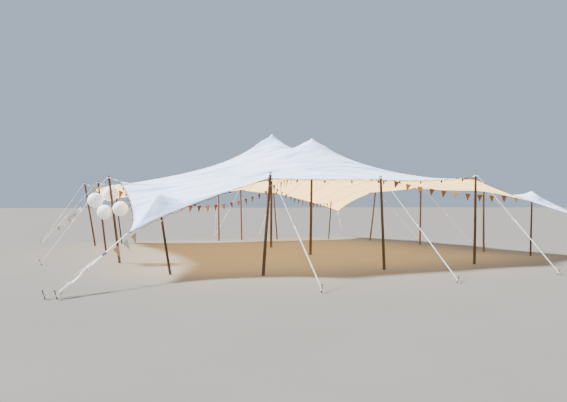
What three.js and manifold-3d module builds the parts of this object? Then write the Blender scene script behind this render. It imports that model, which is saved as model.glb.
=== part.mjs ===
// Stretch tent: one stretched fabric canopy over two king poles, on leaning timber perimeter
// poles, held out by taut guy ropes and corner straps that run down to ground stakes.
// Millimetres, +Z up. Before the last step X runs along the open front from left to right,
// Y runs from the front to the rear, and (0, 0) is the foot of the left front pole.
import * as THREE from "three";
import { mergeVertices } from "three/addons/utils/BufferGeometryUtils.js";
import Module from "manifold-3d";

const wasm = await Module();
wasm.setup();

// Driving dimensions
const GAP = 0.3;                  // clearance between pieces that touch
const FABRIC = 20;                // modelled thickness of the canopy
const CELLS_X = 36;               // canopy cells from the left side to the right side
const CELLS_Y = 36;               // canopy cells from the front hem to the rear hem
const KING_RADIUS = [62, 48];     // king pole, at its foot and at its top
const POLE_RADIUS = [52, 42];     // perimeter pole, at its foot and at its top
const PROP_RADIUS = [42, 34];     // short corner prop, at its foot and at its top
const POLE_SIDES = 12;
const ROPE_RADIUS = 10;
const TIE_RADIUS = 8;             // the rope's last turn, where it runs into the hem
const LOOP_RADIUS = 14;           // turns of rope wound round a pole or a stake
const ROPE_SIDES = 6;
const STRAP = [50, 8];            // corner strap, width and modelled thickness
const RATCHET = [190, 84, 60];    // strap tensioner, length, width and height
const STAKE_RADIUS = 17;
const STAKE_HEIGHT = 240;         // steel stake above the ground
const STAKE_LEAN = 95;            // how far a stake's head leans away from the tent
const STAKE_RING_HEIGHT = 90;     // where a rope loops round its stake
const RATCHET_SHARE = 0.352;      // how far down its strap a tensioner starts
const POLE_RING_DROP = 70;        // how far under a pole's top its rope loops
const LANTERN_RADIUS = 280;       // round paper lantern
const STRING_RADIUS = 3;          // lantern string
const FESTOON_RADIUS = 6;         // lamp cable clipped along the hem
const FESTOON_SAG = 55;           // how far the cable droops between its clips
const BUNTING_RADIUS = 4;         // bunting line
const PENNANT = [250, 310, 5];    // bunting flag, width, drop and modelled thickness
const PENNANT_PITCH = 520;        // from one flag to the next
const GATHERED_CLOTH = [85, 45];  // spare cloth twisted round a strap, radius at each end

// Short rows of flags: from a pole's middle down to its guy rope, and from the front hem to
// the front left strap's tensioner
const GUY_FLAGS = { pole: "left_rear", height: 2500, share: 0.8, sag: 130, pitch: 430 };
const STRAP_FLAGS = { hemCell: 0.9, sag: 60, pitch: 400 };

const COLOUR = {
  canvas: 0xf0f1f2,
  timber: 0x8a5a36,
  rope: 0xe9e6df,
  strap: 0xf0eee8,
  steel: 0x6d6f70,
  paper: 0xf4f1ea,
  cable: 0x2c2e2a,
  bunting: 0xb8683c,
};

const MATERIAL = {
  canvas: { color: COLOUR.canvas, roughness: 0.8, metalness: 0 },
  timber: { color: COLOUR.timber, roughness: 0.75, metalness: 0 },
  rope: { color: COLOUR.rope, roughness: 0.9, metalness: 0 },
  strap: { color: COLOUR.strap, roughness: 0.85, metalness: 0 },
  steel: { color: COLOUR.steel, roughness: 0.5, metalness: 0.8 },
  paper: { color: COLOUR.paper, roughness: 0.9, metalness: 0 },
  cable: { color: COLOUR.cable, roughness: 0.6, metalness: 0 },
  bunting: { color: COLOUR.bunting, roughness: 0.9, metalness: 0 },
};

// Perimeter poles: foot on the ground, top of the timber, the hem point that it holds and
// the canopy cell of that point
const EDGE_POLES = {
  front_left: { foot: [0, 0], top: [50, -500, 3210], hem: [50, -330, 3030], cell: [8, 0] },
  front_middle: { foot: [4350, -180], top: [4100, -350, 3180], hem: [4110, -200, 3065], cell: [16, 0] },
  front_right: { foot: [8440, 0], top: [8240, -300, 3350], hem: [8240, -150, 3230], cell: [25, 0] },
  left_front: { foot: [-3690, 5530], top: [-4100, 5500, 3300], hem: [-3680, 5500, 3100], cell: [0, 11] },
  left_middle: { foot: [-3600, 11800], top: [-3970, 11800, 3350], hem: [-3550, 11800, 3150], cell: [0, 23] },
  left_rear: { foot: [-3840, 15060], top: [-4390, 15100, 3400], hem: [-4005, 15070, 3190], cell: [0, 29] },
  right_front: { foot: [12740, 4100], top: [12760, 4100, 3000], hem: [12600, 4100, 2880], cell: [36, 8] },
  right_middle: { foot: [12700, 8900], top: [12770, 8900, 3260], hem: [12600, 8900, 3140], cell: [36, 18] },
  right_rear: { foot: [12250, 13300], top: [12660, 13300, 3130], hem: [12500, 13300, 3010], cell: [36, 27] },
  rear_left: { foot: [3520, 16700], top: [3500, 16780, 3110], hem: [3500, 16600, 2990], cell: [14, 36] },
  rear_middle: { foot: [5000, 16700], top: [4950, 16780, 3260], hem: [4950, 16600, 3140], cell: [17, 36] },
  rear_right: { foot: [7320, 16500], top: [7100, 16580, 3070], hem: [7100, 16400, 2950], cell: [22, 36] },
};

// Poles whose guy rope shares the stake of another pole
const SHARED_STAKES = { left_middle: "left_rear", rear_middle: "rear_left" };

// Poles under the canopy that push it up: foot, the canopy point over the pole, and how
// strongly and how widely the fabric round it is gathered
const INNER_POLES = {
  king_pole_rear: { foot: [4450, 10400], peak: [4500, 10400, 5895], radius: KING_RADIUS, gather: [2.34, 594] },
  king_pole_front: { foot: [4520, 5900], peak: [4600, 5900, 5180], radius: KING_RADIUS, gather: [0.26, 594] },
  corner_prop_front_left: { foot: [-2640, 1300], peak: [-3060, 1100, 2560], radius: PROP_RADIUS, gather: [1.5, 900] },
  corner_prop_front_right: { foot: [13000, 1600], peak: [13000, 1500, 2800], radius: PROP_RADIUS, gather: [1.02, 580] },
  corner_prop_rear_right: { foot: [10450, 15400], peak: [10700, 15500, 2500], radius: PROP_RADIUS, gather: [1.5, 900] },
  corner_prop_rear_left: { foot: [-2300, 16400], peak: [-2600, 16700, 2850], radius: PROP_RADIUS, gather: [1.5, 900] },
};

// Canopy corners, each drawn down by a strap to its own stake
const CORNERS = {
  front_left: { tip: [-4120, 0, 1410], stake: "corner_front_left", second: "corner_front_left_outer" },
  front_right: { tip: [14660, -300, 1475], stake: "corner_front_right" },
  rear_right: { tip: [12050, 17050, 1760], stake: "corner_rear_right", gathered: true },
  rear_left: { tip: [-3900, 18400, 2350], stake: "corner_rear_left" },
};

const STAKES = {
  front_left: [100, -3800],
  front_middle: [4400, -3750],
  front_right: [8500, -3600],
  left_front: [-6400, 5900],
  left_rear: [-6500, 17000],
  right_front: [16200, 4100],
  right_middle: [16200, 8900],
  right_rear: [15800, 13300],
  rear_left: [4200, 20000],
  rear_right: [7400, 19900],
  corner_front_left: [-6000, -2230],
  corner_front_left_outer: [-6260, -2110],
  corner_front_right: [16300, -2400],
  corner_rear_right: [13600, 19200],
  corner_rear_left: [-6500, 20900],
};

// Hem spans between the points that are held, in order round each side: how far the
// middle of each span curves in towards the canopy, and how far it rises or sags
const HEM_SIDES = [
  {
    along: "x", at: 0, inward: [0, 1],
    points: ["corner:front_left", "front_left", "front_middle", "front_right", "corner:front_right"],
    curve: [[750, 40], [100, -10], [100, -60], [925, 160]],
  },
  {
    along: "x", at: CELLS_Y, inward: [0, -1],
    points: ["corner:rear_left", "rear_left", "rear_middle", "rear_right", "corner:rear_right"],
    curve: [[900, 200], [50, -20], [100, -50], [750, 0]],
  },
  {
    along: "y", at: 0, inward: [1, 0],
    points: ["corner:front_left", "left_front", "left_middle", "left_rear", "corner:rear_left"],
    curve: [[300, -250], [250, -100], [150, -50], [400, -100]],
  },
  {
    along: "y", at: CELLS_X, inward: [-1, 0],
    points: ["corner:front_right", "right_front", "right_middle", "right_rear", "corner:rear_right"],
    curve: [[500, 220], [200, -50], [200, -50], [150, 80]],
  },
];

const RIDGE = { pull: 3, width: 250 };  // fabric drawn tight from one king pole to the other

const node = (i, j) => j * (CELLS_X + 1) + i;

// Every canopy point on the hem, from the spans between the points that are held
function hemPoints() {
  const held = new Map();
  for (const side of HEM_SIDES) {
    const last = side.along === "x" ? CELLS_X : CELLS_Y;
    const marks = side.points.map((name, k) => {
      if (name.startsWith("corner:")) {
        return { cell: k === 0 ? 0 : last, point: CORNERS[name.slice(7)].tip };
      }
      const pole = EDGE_POLES[name];
      return { cell: side.along === "x" ? pole.cell[0] : pole.cell[1], point: pole.hem };
    });
    for (let s = 0; s + 1 < marks.length; s++) {
      const [depth, rise] = side.curve[s];
      const count = marks[s + 1].cell - marks[s].cell;
      for (let k = 0; k <= count; k++) {
        const t = k / count;
        const bow = 4 * t * (1 - t);
        const p = marks[s].point.map((value, a) => value + (marks[s + 1].point[a] - value) * t);
        p[0] += bow * depth * side.inward[0];
        p[1] += bow * depth * side.inward[1];
        p[2] += bow * rise;
        const cell = marks[s].cell + k;
        held.set(side.along === "x" ? node(cell, side.at) : node(side.at, cell), p);
      }
    }
  }
  return held;
}

// Rest shape of a net of stretched threads: each free knot is the weighted mean of its
// neighbours. Solved for one coordinate by conjugate gradients
function relax(values, held, threads, weights) {
  const count = values.length;
  const apply = (x) => {
    const out = new Float64Array(count);
    threads.forEach(([a, b], k) => {
      const pull = weights[k] * (x[a] - x[b]);
      out[a] += pull;
      out[b] -= pull;
    });
    for (const knot of held.keys()) {
      out[knot] = 0;
    }
    return out;
  };
  const residual = apply(values).map((value) => -value);
  const direction = residual.slice();
  let power = residual.reduce((sum, value) => sum + value * value, 0);
  for (let turn = 0; turn < 2000 && power > 1e-12; turn++) {
    const image = apply(direction);
    const step = power / image.reduce((sum, value, k) => sum + value * direction[k], 0);
    for (let k = 0; k < count; k++) {
      values[k] += step * direction[k];
      residual[k] -= step * image[k];
    }
    const next = residual.reduce((sum, value) => sum + value * value, 0);
    for (let k = 0; k < count; k++) {
      direction[k] = residual[k] + (next / power) * direction[k];
    }
    power = next;
  }
  return values;
}

// Plan distance from the line between the two king poles
function ridgeDistance([x, y]) {
  const from = INNER_POLES.king_pole_rear.peak;
  const to = INNER_POLES.king_pole_front.peak;
  const span = [to[0] - from[0], to[1] - from[1]];
  const share = ((x - from[0]) * span[0] + (y - from[1]) * span[1]) / (span[0] ** 2 + span[1] ** 2);
  const t = Math.min(Math.max(share, 0), 1);
  return Math.hypot(x - from[0] - t * span[0], y - from[1] - t * span[1]);
}

// Middle surface of the canopy as a grid of points
function canopySurface() {
  const held = hemPoints();
  const count = (CELLS_X + 1) * (CELLS_Y + 1);
  const threads = [];
  for (let j = 0; j <= CELLS_Y; j++) {
    for (let i = 0; i <= CELLS_X; i++) {
      if (i < CELLS_X) threads.push([node(i, j), node(i + 1, j)]);
      if (j < CELLS_Y) threads.push([node(i, j), node(i, j + 1)]);
    }
  }
  const even = threads.map(() => 1);
  const start = (axis) => {
    const values = new Float64Array(count);
    held.forEach((point, knot) => {
      values[knot] = point[axis];
    });
    return values;
  };
  const plan = () => [0, 1].map((axis) => relax(start(axis), held, threads, even));
  const [hemX, hemY] = plan();
  for (const pole of Object.values(INNER_POLES)) {
    let nearest = 0;
    let least = Infinity;
    for (let knot = 0; knot < count; knot++) {
      const away = Math.hypot(hemX[knot] - pole.peak[0], hemY[knot] - pole.peak[1]);
      if (away < least) [nearest, least] = [knot, away];
    }
    held.set(nearest, pole.peak);
  }
  const [x, y] = plan();
  const gathered = threads.map(([a, b]) => {
    const middle = [(x[a] + x[b]) / 2, (y[a] + y[b]) / 2];
    let weight = 1 + RIDGE.pull * Math.exp(-((ridgeDistance(middle) / RIDGE.width) ** 2));
    for (const pole of Object.values(INNER_POLES)) {
      const away = Math.hypot(middle[0] - pole.peak[0], middle[1] - pole.peak[1]);
      weight += pole.gather[0] * Math.exp(-away / pole.gather[1]);
    }
    return weight;
  });
  const z = relax(start(2), held, threads, gathered);
  return Array.from({ length: count }, (_, k) => new THREE.Vector3(x[k], y[k], z[k]));
}

// Closed shell over the grid, thickened both ways from the middle surface and let out
// at the hem by "outset"
function shell(surface, thickness, outset) {
  const across = new THREE.Vector3();
  const along = new THREE.Vector3();
  const at = (i, j) => surface[node(Math.min(Math.max(i, 0), CELLS_X), Math.min(Math.max(j, 0), CELLS_Y))];
  const positions = [];
  const layers = [thickness / 2, -thickness / 2];
  for (const offset of layers) {
    for (let j = 0; j <= CELLS_Y; j++) {
      for (let i = 0; i <= CELLS_X; i++) {
        across.subVectors(at(i + 1, j), at(i - 1, j)).normalize();
        along.subVectors(at(i, j + 1), at(i, j - 1)).normalize();
        const normal = across.clone().cross(along).normalize();
        const p = at(i, j).clone().addScaledVector(normal, offset);
        if (i === 0) p.addScaledVector(across, -outset);
        if (i === CELLS_X) p.addScaledVector(across, outset);
        if (j === 0) p.addScaledVector(along, -outset);
        if (j === CELLS_Y) p.addScaledVector(along, outset);
        positions.push(p.x, p.y, p.z);
      }
    }
  }
  const layer = (CELLS_X + 1) * (CELLS_Y + 1);
  const faces = [];
  const quad = (a, b, c, d) => faces.push(a, b, c, a, c, d);
  for (let j = 0; j < CELLS_Y; j++) {
    for (let i = 0; i < CELLS_X; i++) {
      const [a, b, c, d] = [node(i, j), node(i + 1, j), node(i + 1, j + 1), node(i, j + 1)];
      quad(a, b, c, d);
      quad(layer + d, layer + c, layer + b, layer + a);
    }
  }
  const rim = [];
  for (let i = 0; i < CELLS_X; i++) rim.push([node(i, 0), node(i + 1, 0)]);
  for (let j = 0; j < CELLS_Y; j++) rim.push([node(CELLS_X, j), node(CELLS_X, j + 1)]);
  for (let i = CELLS_X; i > 0; i--) rim.push([node(i, CELLS_Y), node(i - 1, CELLS_Y)]);
  for (let j = CELLS_Y; j > 0; j--) rim.push([node(0, j), node(0, j - 1)]);
  for (const [a, b] of rim) {
    quad(layer + a, layer + b, b, a);
  }
  const geometry = new THREE.BufferGeometry();
  geometry.setAttribute("position", new THREE.Float32BufferAttribute(positions, 3));
  geometry.setIndex(faces);
  return geometry;
}

function toSolid(geometry) {
  const bare = geometry.clone();
  bare.deleteAttribute("normal");
  bare.deleteAttribute("uv");
  const merged = mergeVertices(bare, 1e-3);
  return new wasm.Manifold(new wasm.Mesh({
    numProp: 3,
    vertProperties: Float32Array.from(merged.attributes.position.array),
    triVerts: Uint32Array.from(merged.index.array),
  }));
}

function toGeometry(solid) {
  const mesh = solid.getMesh();
  const geometry = new THREE.BufferGeometry();
  geometry.setAttribute("position", new THREE.BufferAttribute(mesh.vertProperties.slice(), 3));
  geometry.setIndex(new THREE.BufferAttribute(mesh.triVerts.slice(), 1));
  return geometry;
}

const join = (geometries) => geometries.map(toSolid).reduce((all, solid) => all.add(solid));

// Leans an upright geometry so that its axis runs from foot to top and its foot stays level
function lean(geometry, foot, top) {
  const slant = new THREE.Matrix4().set(
    1, 0, (top[0] - foot[0]) / top[2], foot[0],
    0, 1, (top[1] - foot[1]) / top[2], foot[1],
    0, 0, 1, 0,
    0, 0, 0, 1,
  );
  return geometry.applyMatrix4(slant);
}

const axisPoint = (foot, top, height) => new THREE.Vector3(
  foot[0] + ((top[0] - foot[0]) * height) / top[2],
  foot[1] + ((top[1] - foot[1]) * height) / top[2],
  height,
);

// Upright turned post from z = 0, from a list of [radius, height]
function turned(profile, sides) {
  const outline = [[0, 0], ...profile, [0, profile[profile.length - 1][1]]];
  const points = outline.map(([radius, height]) => new THREE.Vector2(radius, height));
  return new THREE.LatheGeometry(points, sides).rotateX(Math.PI / 2);
}

// Round pole with a worn, slightly rounded top
function pole(radius, height) {
  return turned([
    [radius[0], 0],
    [radius[1], height - 25],
    [radius[1] - 14, height],
  ], POLE_SIDES);
}

// Pole whose rounded head fits up into a peak of the canopy
function peakPole(radius, height) {
  return turned([
    [radius[0], 0],
    [radius[1], height - 190],
    [radius[1] * 0.62, height - 90],
    [radius[1] * 0.2, height - 22],
    [2.5, height],
  ], POLE_SIDES);
}

// Straight round bar between two points, as thick at both ends unless it tapers
function bar(from, to, radius, sides = ROPE_SIDES, farRadius = radius) {
  const direction = new THREE.Vector3().subVectors(to, from);
  const turn = new THREE.Quaternion().setFromUnitVectors(
    new THREE.Vector3(0, 1, 0),
    direction.clone().normalize(),
  );
  const middle = new THREE.Vector3().addVectors(from, to).multiplyScalar(0.5);
  return new THREE.CylinderGeometry(farRadius, radius, direction.length(), sides)
    .applyQuaternion(turn)
    .translate(middle.x, middle.y, middle.z);
}

// Flat bar between two points, its width level
function strapBar(from, to, width, thickness, spare = 0) {
  const direction = new THREE.Vector3().subVectors(to, from).normalize();
  const side = new THREE.Vector3(0, 0, 1).cross(direction).normalize();
  const face = direction.clone().cross(side);
  const start = from.clone().addScaledVector(direction, -spare);
  const length = start.distanceTo(to);
  const frame = new THREE.Matrix4().makeBasis(direction, side, face);
  const middle = start.clone().addScaledVector(direction, length / 2);
  return new THREE.BoxGeometry(length, width, thickness)
    .applyMatrix4(frame)
    .translate(middle.x, middle.y, middle.z);
}

// Rope loop round a leaning post, close to it but clear of it
function loop(foot, top, postRadius, height, ropeRadius) {
  const ring = new THREE.TorusGeometry(postRadius + GAP + ropeRadius, ropeRadius, 6, POLE_SIDES);
  return lean(ring.rotateZ(Math.PI / 2).translate(0, 0, height), foot, top);
}

// Stakes lean away from what they hold
function stakeAxis(name) {
  const [x, y] = STAKES[name];
  const centre = [4300, 8000];
  const away = Math.hypot(x - centre[0], y - centre[1]);
  const head = [
    x + (STAKE_LEAN * (x - centre[0])) / away,
    y + (STAKE_LEAN * (y - centre[1])) / away,
    STAKE_HEIGHT,
  ];
  return { foot: [x, y], top: head };
}

function stake(name) {
  const { foot, top } = stakeAxis(name);
  const shape = turned([
    [STAKE_RADIUS, 0],
    [STAKE_RADIUS, STAKE_HEIGHT - 24],
    [STAKE_RADIUS + 10, STAKE_HEIGHT - 24],
    [STAKE_RADIUS + 10, STAKE_HEIGHT],
  ], POLE_SIDES);
  return lean(shape, foot, top);
}

// Where a line meets a loop: on the loop's own centre line, on the side that it leaves to
function loopPoint(axis, towards, postRadius, height, ropeRadius) {
  const centre = axisPoint(axis.foot, axis.top, height);
  const out = new THREE.Vector3(towards.x - centre.x, towards.y - centre.y, 0).normalize();
  return centre.addScaledVector(out, postRadius + GAP + ropeRadius);
}

const surface = canopySurface();
const canopy = shell(surface, FABRIC, 0);
const canopyClearance = toSolid(shell(surface, FABRIC + 2 * GAP, GAP));
const trimmed = (solid) => toGeometry(solid.subtract(canopyClearance));

// The points that a guy rope runs through: its loops round the pole and the stake, the
// short tie to the hem, and the long line down to the stake
function guyLines(name) {
  const spec = EDGE_POLES[name];
  const axis = { foot: spec.foot, top: spec.top };
  const height = spec.top[2] - POLE_RING_DROP;
  const slope = (POLE_RADIUS[1] - POLE_RADIUS[0]) / (spec.top[2] - 25);
  const radius = POLE_RADIUS[0] + slope * (height - LOOP_RADIUS);
  const ground = stakeAxis(SHARED_STAKES[name] ?? name);
  const ringHeight = STAKE_RING_HEIGHT - (name in SHARED_STAKES ? 2.6 * LOOP_RADIUS : 0);
  const hem = new THREE.Vector3(...spec.hem);
  const stakeMark = axisPoint(ground.foot, ground.top, ringHeight);
  const poleMark = axisPoint(axis.foot, axis.top, height);
  const tieStart = loopPoint(axis, hem, radius, height, LOOP_RADIUS);
  const guyStart = loopPoint(axis, stakeMark, radius, height, LOOP_RADIUS);
  const guyEnd = loopPoint(ground, poleMark, STAKE_RADIUS, ringHeight, LOOP_RADIUS);
  return { axis, radius, height, ground, ringHeight, tieStart, tieEnd: hem, guyStart, guyEnd };
}

// Guy rope: from the hem, round the pole's head, and down to a loop round the stake
function guyRope(name) {
  const { axis, radius, height, ground, ringHeight, tieStart, tieEnd, guyStart, guyEnd } = guyLines(name);
  const pieces = [
    loop(axis.foot, axis.top, radius, height, LOOP_RADIUS),
    bar(tieStart, tieEnd, TIE_RADIUS),
    bar(guyStart, guyEnd, ROPE_RADIUS),
    loop(ground.foot, ground.top, STAKE_RADIUS, ringHeight, LOOP_RADIUS),
  ];
  if (name !== GUY_FLAGS.pole) return trimmed(join(pieces));
  const start = axisPoint(axis.foot, axis.top, GUY_FLAGS.height);
  const end = guyStart.clone().lerp(guyEnd, GUY_FLAGS.share);
  pieces.push(...flagLine(start, end, GUY_FLAGS.sag, GUY_FLAGS.pitch, 500));
  return trimmed(join(pieces).subtract(poleClearance(name)));
}

// Corner strap: from the canopy's corner through a ratchet to a loop round its stake
function cornerStrap(corner) {
  const ground = stakeAxis(corner.stake);
  const tip = new THREE.Vector3(...corner.tip);
  const end = loopPoint(ground, tip, STAKE_RADIUS, STAKE_RING_HEIGHT, LOOP_RADIUS);
  const direction = new THREE.Vector3().subVectors(end, tip);
  const ratchetFrom = tip.clone().addScaledVector(direction, RATCHET_SHARE);
  const ratchetTo = ratchetFrom.clone().addScaledVector(direction.clone().normalize(), RATCHET[0]);
  const pieces = [
    strapBar(tip, end, STRAP[0], STRAP[1], 25),
    strapBar(ratchetFrom, ratchetTo, RATCHET[1], RATCHET[2]),
    loop(ground.foot, ground.top, STAKE_RADIUS, STAKE_RING_HEIGHT, LOOP_RADIUS),
  ];
  if (corner.second) {
    const other = stakeAxis(corner.second);
    const legStart = ratchetTo.clone().addScaledVector(direction.clone().normalize(), -RATCHET[0] / 4);
    const legEnd = loopPoint(other, legStart, STAKE_RADIUS, STAKE_RING_HEIGHT, LOOP_RADIUS);
    pieces.push(bar(legStart, legEnd, ROPE_RADIUS));
    pieces.push(loop(other.foot, other.top, STAKE_RADIUS, STAKE_RING_HEIGHT, LOOP_RADIUS));
    const hem = hemPoint("x", STRAP_FLAGS.hemCell, -4);
    pieces.push(...flagLine(hem, ratchetFrom, STRAP_FLAGS.sag, STRAP_FLAGS.pitch, 150));
  }
  if (corner.gathered) {
    const way = direction.clone().normalize();
    const from = tip.clone().addScaledVector(way, 70);
    const to = end.clone().addScaledVector(way, -320);
    pieces.push(bar(from, to, GATHERED_CLOTH[0], 10, GATHERED_CLOTH[1]));
  }
  return trimmed(join(pieces));
}

// Paper lanterns hung in a cluster at the head of the left front pole: the centre of
// each, and the line that its string is tied to, with the share of the way along it
const LANTERNS = {
  lantern_outer: { centre: [-4590, 5250, 2370], line: "guy", share: 0.09 },
  lantern_low: { centre: [-4225, 5690, 1930], line: "guy", share: 0.07 },
  lantern_inner: { centre: [-3730, 5010, 2060], line: "hem" },
  lantern_behind: { centre: [-3990, 5860, 2620], line: "tie", share: 0.35 },
};

function lantern(spec) {
  const lines = guyLines("left_front");
  const centre = new THREE.Vector3(...spec.centre);
  const top = centre.clone().add(new THREE.Vector3(0, 0, LANTERN_RADIUS - 20));
  const sphere = new THREE.SphereGeometry(LANTERN_RADIUS, 16, 10)
    .rotateX(Math.PI / 2)
    .translate(centre.x, centre.y, centre.z);
  if (spec.line === "hem") {
    const carrier = hemAbove(centre);
    return trimmed(join([sphere, bar(top, carrier, STRING_RADIUS)]));
  }
  const onGuy = spec.line === "guy";
  const [from, to] = onGuy ? [lines.guyStart, lines.guyEnd] : [lines.tieStart, lines.tieEnd];
  const knot = from.clone().lerp(to, spec.share);
  const clear = toSolid(bar(from, to, (onGuy ? ROPE_RADIUS : TIE_RADIUS) + GAP));
  return toGeometry(join([sphere, bar(top, knot, STRING_RADIUS)]).subtract(clear));
}

// Canopy point just inside the left hem, at the same distance back as a point below it
function hemAbove(point) {
  const justInside = (j) => surface[node(0, j)].clone().lerp(surface[node(1, j)], 0.25);
  for (let j = 0; j < CELLS_Y; j++) {
    const [a, b] = [justInside(j), justInside(j + 1)];
    if (a.y <= point.y && point.y <= b.y) {
      return a.lerp(b, (point.y - a.y) / (b.y - a.y));
    }
  }
  throw new Error("no hem above the lantern");
}

// Point on the front or left hem, counted in cells along it, let out square to the hem
function hemPoint(along, cell, outset) {
  const low = Math.floor(cell);
  const share = cell - low;
  const hem = (k) => (along === "x" ? surface[node(k, 0)] : surface[node(0, k)]);
  const inside = (k) => (along === "x" ? surface[node(k, 1)] : surface[node(1, k)]);
  const point = hem(low).clone().lerp(hem(low + 1), share);
  const tangent = new THREE.Vector3().subVectors(hem(low + 1), hem(low)).normalize();
  const out = point.clone().sub(inside(low).clone().lerp(inside(low + 1), share));
  out.addScaledVector(tangent, -out.dot(tangent)).normalize();
  return point.addScaledVector(out, outset);
}

// Round tube along a smooth path
function tube(path, radius, steps, sides = 6) {
  const section = new THREE.Shape(Array.from({ length: sides }, (_, k) => new THREE.Vector2(
    radius * Math.cos((2 * Math.PI * k) / sides),
    radius * Math.sin((2 * Math.PI * k) / sides),
  )));
  const curve = new THREE.CatmullRomCurve3(path);
  return new THREE.ExtrudeGeometry(section, { steps, extrudePath: curve });
}

// Lamp cable along a stretch of the hem: clipped at each cell's middle, drooping between
function festoon(along, from, to) {
  const outset = FESTOON_RADIUS + 3 * GAP;
  const path = [];
  for (let cell = from; cell <= to; cell += 0.5) {
    const point = hemPoint(along, cell, outset);
    if (Number.isInteger(cell)) point.z -= FESTOON_SAG;
    path.push(point);
  }
  return trimmed(toSolid(tube(path, FESTOON_RADIUS, (path.length - 1) * 2)));
}

// Bunting: a line that sags between two poles, with flags hung from it at an even pitch
const BUNTING = {
  bunting_front: { from: ["front_left", 2780], to: ["king_pole_front", 4480], sag: 250 },
  bunting_right: { from: ["king_pole_front", 4520], to: ["corner_prop_front_right", 2620], sag: 570 },
  bunting_left: { from: ["left_front", 2870], to: ["king_pole_rear", 3090], sag: 800 },
  bunting_rear: { from: ["king_pole_rear", 3220], to: ["corner_prop_rear_right", 2360], sag: 370 },
};

function poleOf(name) {
  if (name in INNER_POLES) {
    const { foot, peak, radius } = INNER_POLES[name];
    return { foot, top: [peak[0], peak[1], peak[2] - 5], radius };
  }
  const { foot, top } = EDGE_POLES[name];
  return { foot, top, radius: POLE_RADIUS };
}

function poleClearance(name) {
  const { foot, top, radius } = poleOf(name);
  const clear = radius.map((value) => value + GAP);
  return toSolid(lean(pole(clear, top[2]), foot, top));
}

// A sagging line with flags hung from it at an even pitch
function flagLine(start, end, sag, pitch, margin) {
  const droop = (t) => new THREE.Vector3(0, 0, -4 * sag * t * (1 - t));
  const sagAt = (t) => start.clone().lerp(end, t).add(droop(t));
  const path = Array.from({ length: 17 }, (_, k) => sagAt(k / 16));
  const length = start.distanceTo(end);
  const level = new THREE.Vector3().subVectors(end, start).cross(new THREE.Vector3(0, 0, 1)).normalize();
  const count = Math.floor((length - margin) / pitch);
  const spare = (length - count * pitch) / 2;
  const flags = Array.from({ length: count }, (_, k) => {
    const share = ((k + 0.5) * pitch + spare) / length;
    const middle = sagAt(share);
    const side = sagAt(share + 0.001).sub(sagAt(share - 0.001)).normalize();
    const frame = new THREE.Matrix4().makeBasis(side, level.clone().cross(side), level);
    const outline = new THREE.Shape([
      new THREE.Vector2(-PENNANT[0] / 2, 0),
      new THREE.Vector2(0, -PENNANT[1]),
      new THREE.Vector2(PENNANT[0] / 2, 0),
    ]);
    return new THREE.ExtrudeGeometry(outline, { depth: PENNANT[2], bevelEnabled: false })
      .translate(0, 1.5, -PENNANT[2] / 2)
      .applyMatrix4(frame)
      .translate(middle.x, middle.y, middle.z);
  });
  return [tube(path, BUNTING_RADIUS, 32), ...flags];
}

function bunting({ from, to, sag }) {
  const [start, end] = [from, to].map(([name, height]) => {
    const { foot, top } = poleOf(name);
    return axisPoint(foot, top, height);
  });
  const whole = join(flagLine(start, end, sag, PENNANT_PITCH, 400));
  return toGeometry(whole.subtract(poleClearance(from[0])).subtract(poleClearance(to[0])));
}

const tent = new THREE.Group();
const assembly = new THREE.Group();
tent.add(assembly);

function add(name, geometry, finish) {
  const mesh = new THREE.Mesh(geometry, new THREE.MeshStandardMaterial(MATERIAL[finish]));
  mesh.name = name;
  assembly.add(mesh);
}

add("canopy", canopy, "canvas");
for (const [name, spec] of Object.entries(INNER_POLES)) {
  const top = [spec.peak[0], spec.peak[1], spec.peak[2] - 5];
  const shape = lean(peakPole(spec.radius, top[2]), spec.foot, top);
  add(name, trimmed(toSolid(shape)), "timber");
}
for (const [name, spec] of Object.entries(EDGE_POLES)) {
  add(`${name}_pole`, lean(pole(POLE_RADIUS, spec.top[2]), spec.foot, spec.top), "timber");
}
for (const name of Object.keys(EDGE_POLES)) {
  add(`${name}_guy_rope`, guyRope(name), "rope");
}
for (const [name, corner] of Object.entries(CORNERS)) {
  add(`corner_strap_${name}`, cornerStrap(corner), "strap");
}
for (const name of Object.keys(STAKES)) {
  add(`stake_${name}`, stake(name), "steel");
}

for (const [name, spec] of Object.entries(LANTERNS)) {
  add(name, lantern(spec), "paper");
}
add("festoon_cable_left", festoon("y", 0.5, 10.5), "cable");
add("festoon_cable_front", festoon("x", 0.5, 24.5), "cable");
for (const [name, spec] of Object.entries(BUNTING)) {
  add(name, bunting(spec), "bunting");
}

// The part's origin is the middle of its footprint, on the ground
const box = new THREE.Box3().setFromObject(assembly);
const centre = box.getCenter(new THREE.Vector3());
assembly.position.set(-centre.x, -centre.y, 0);

export default tent;
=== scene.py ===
import math
import random

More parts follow.
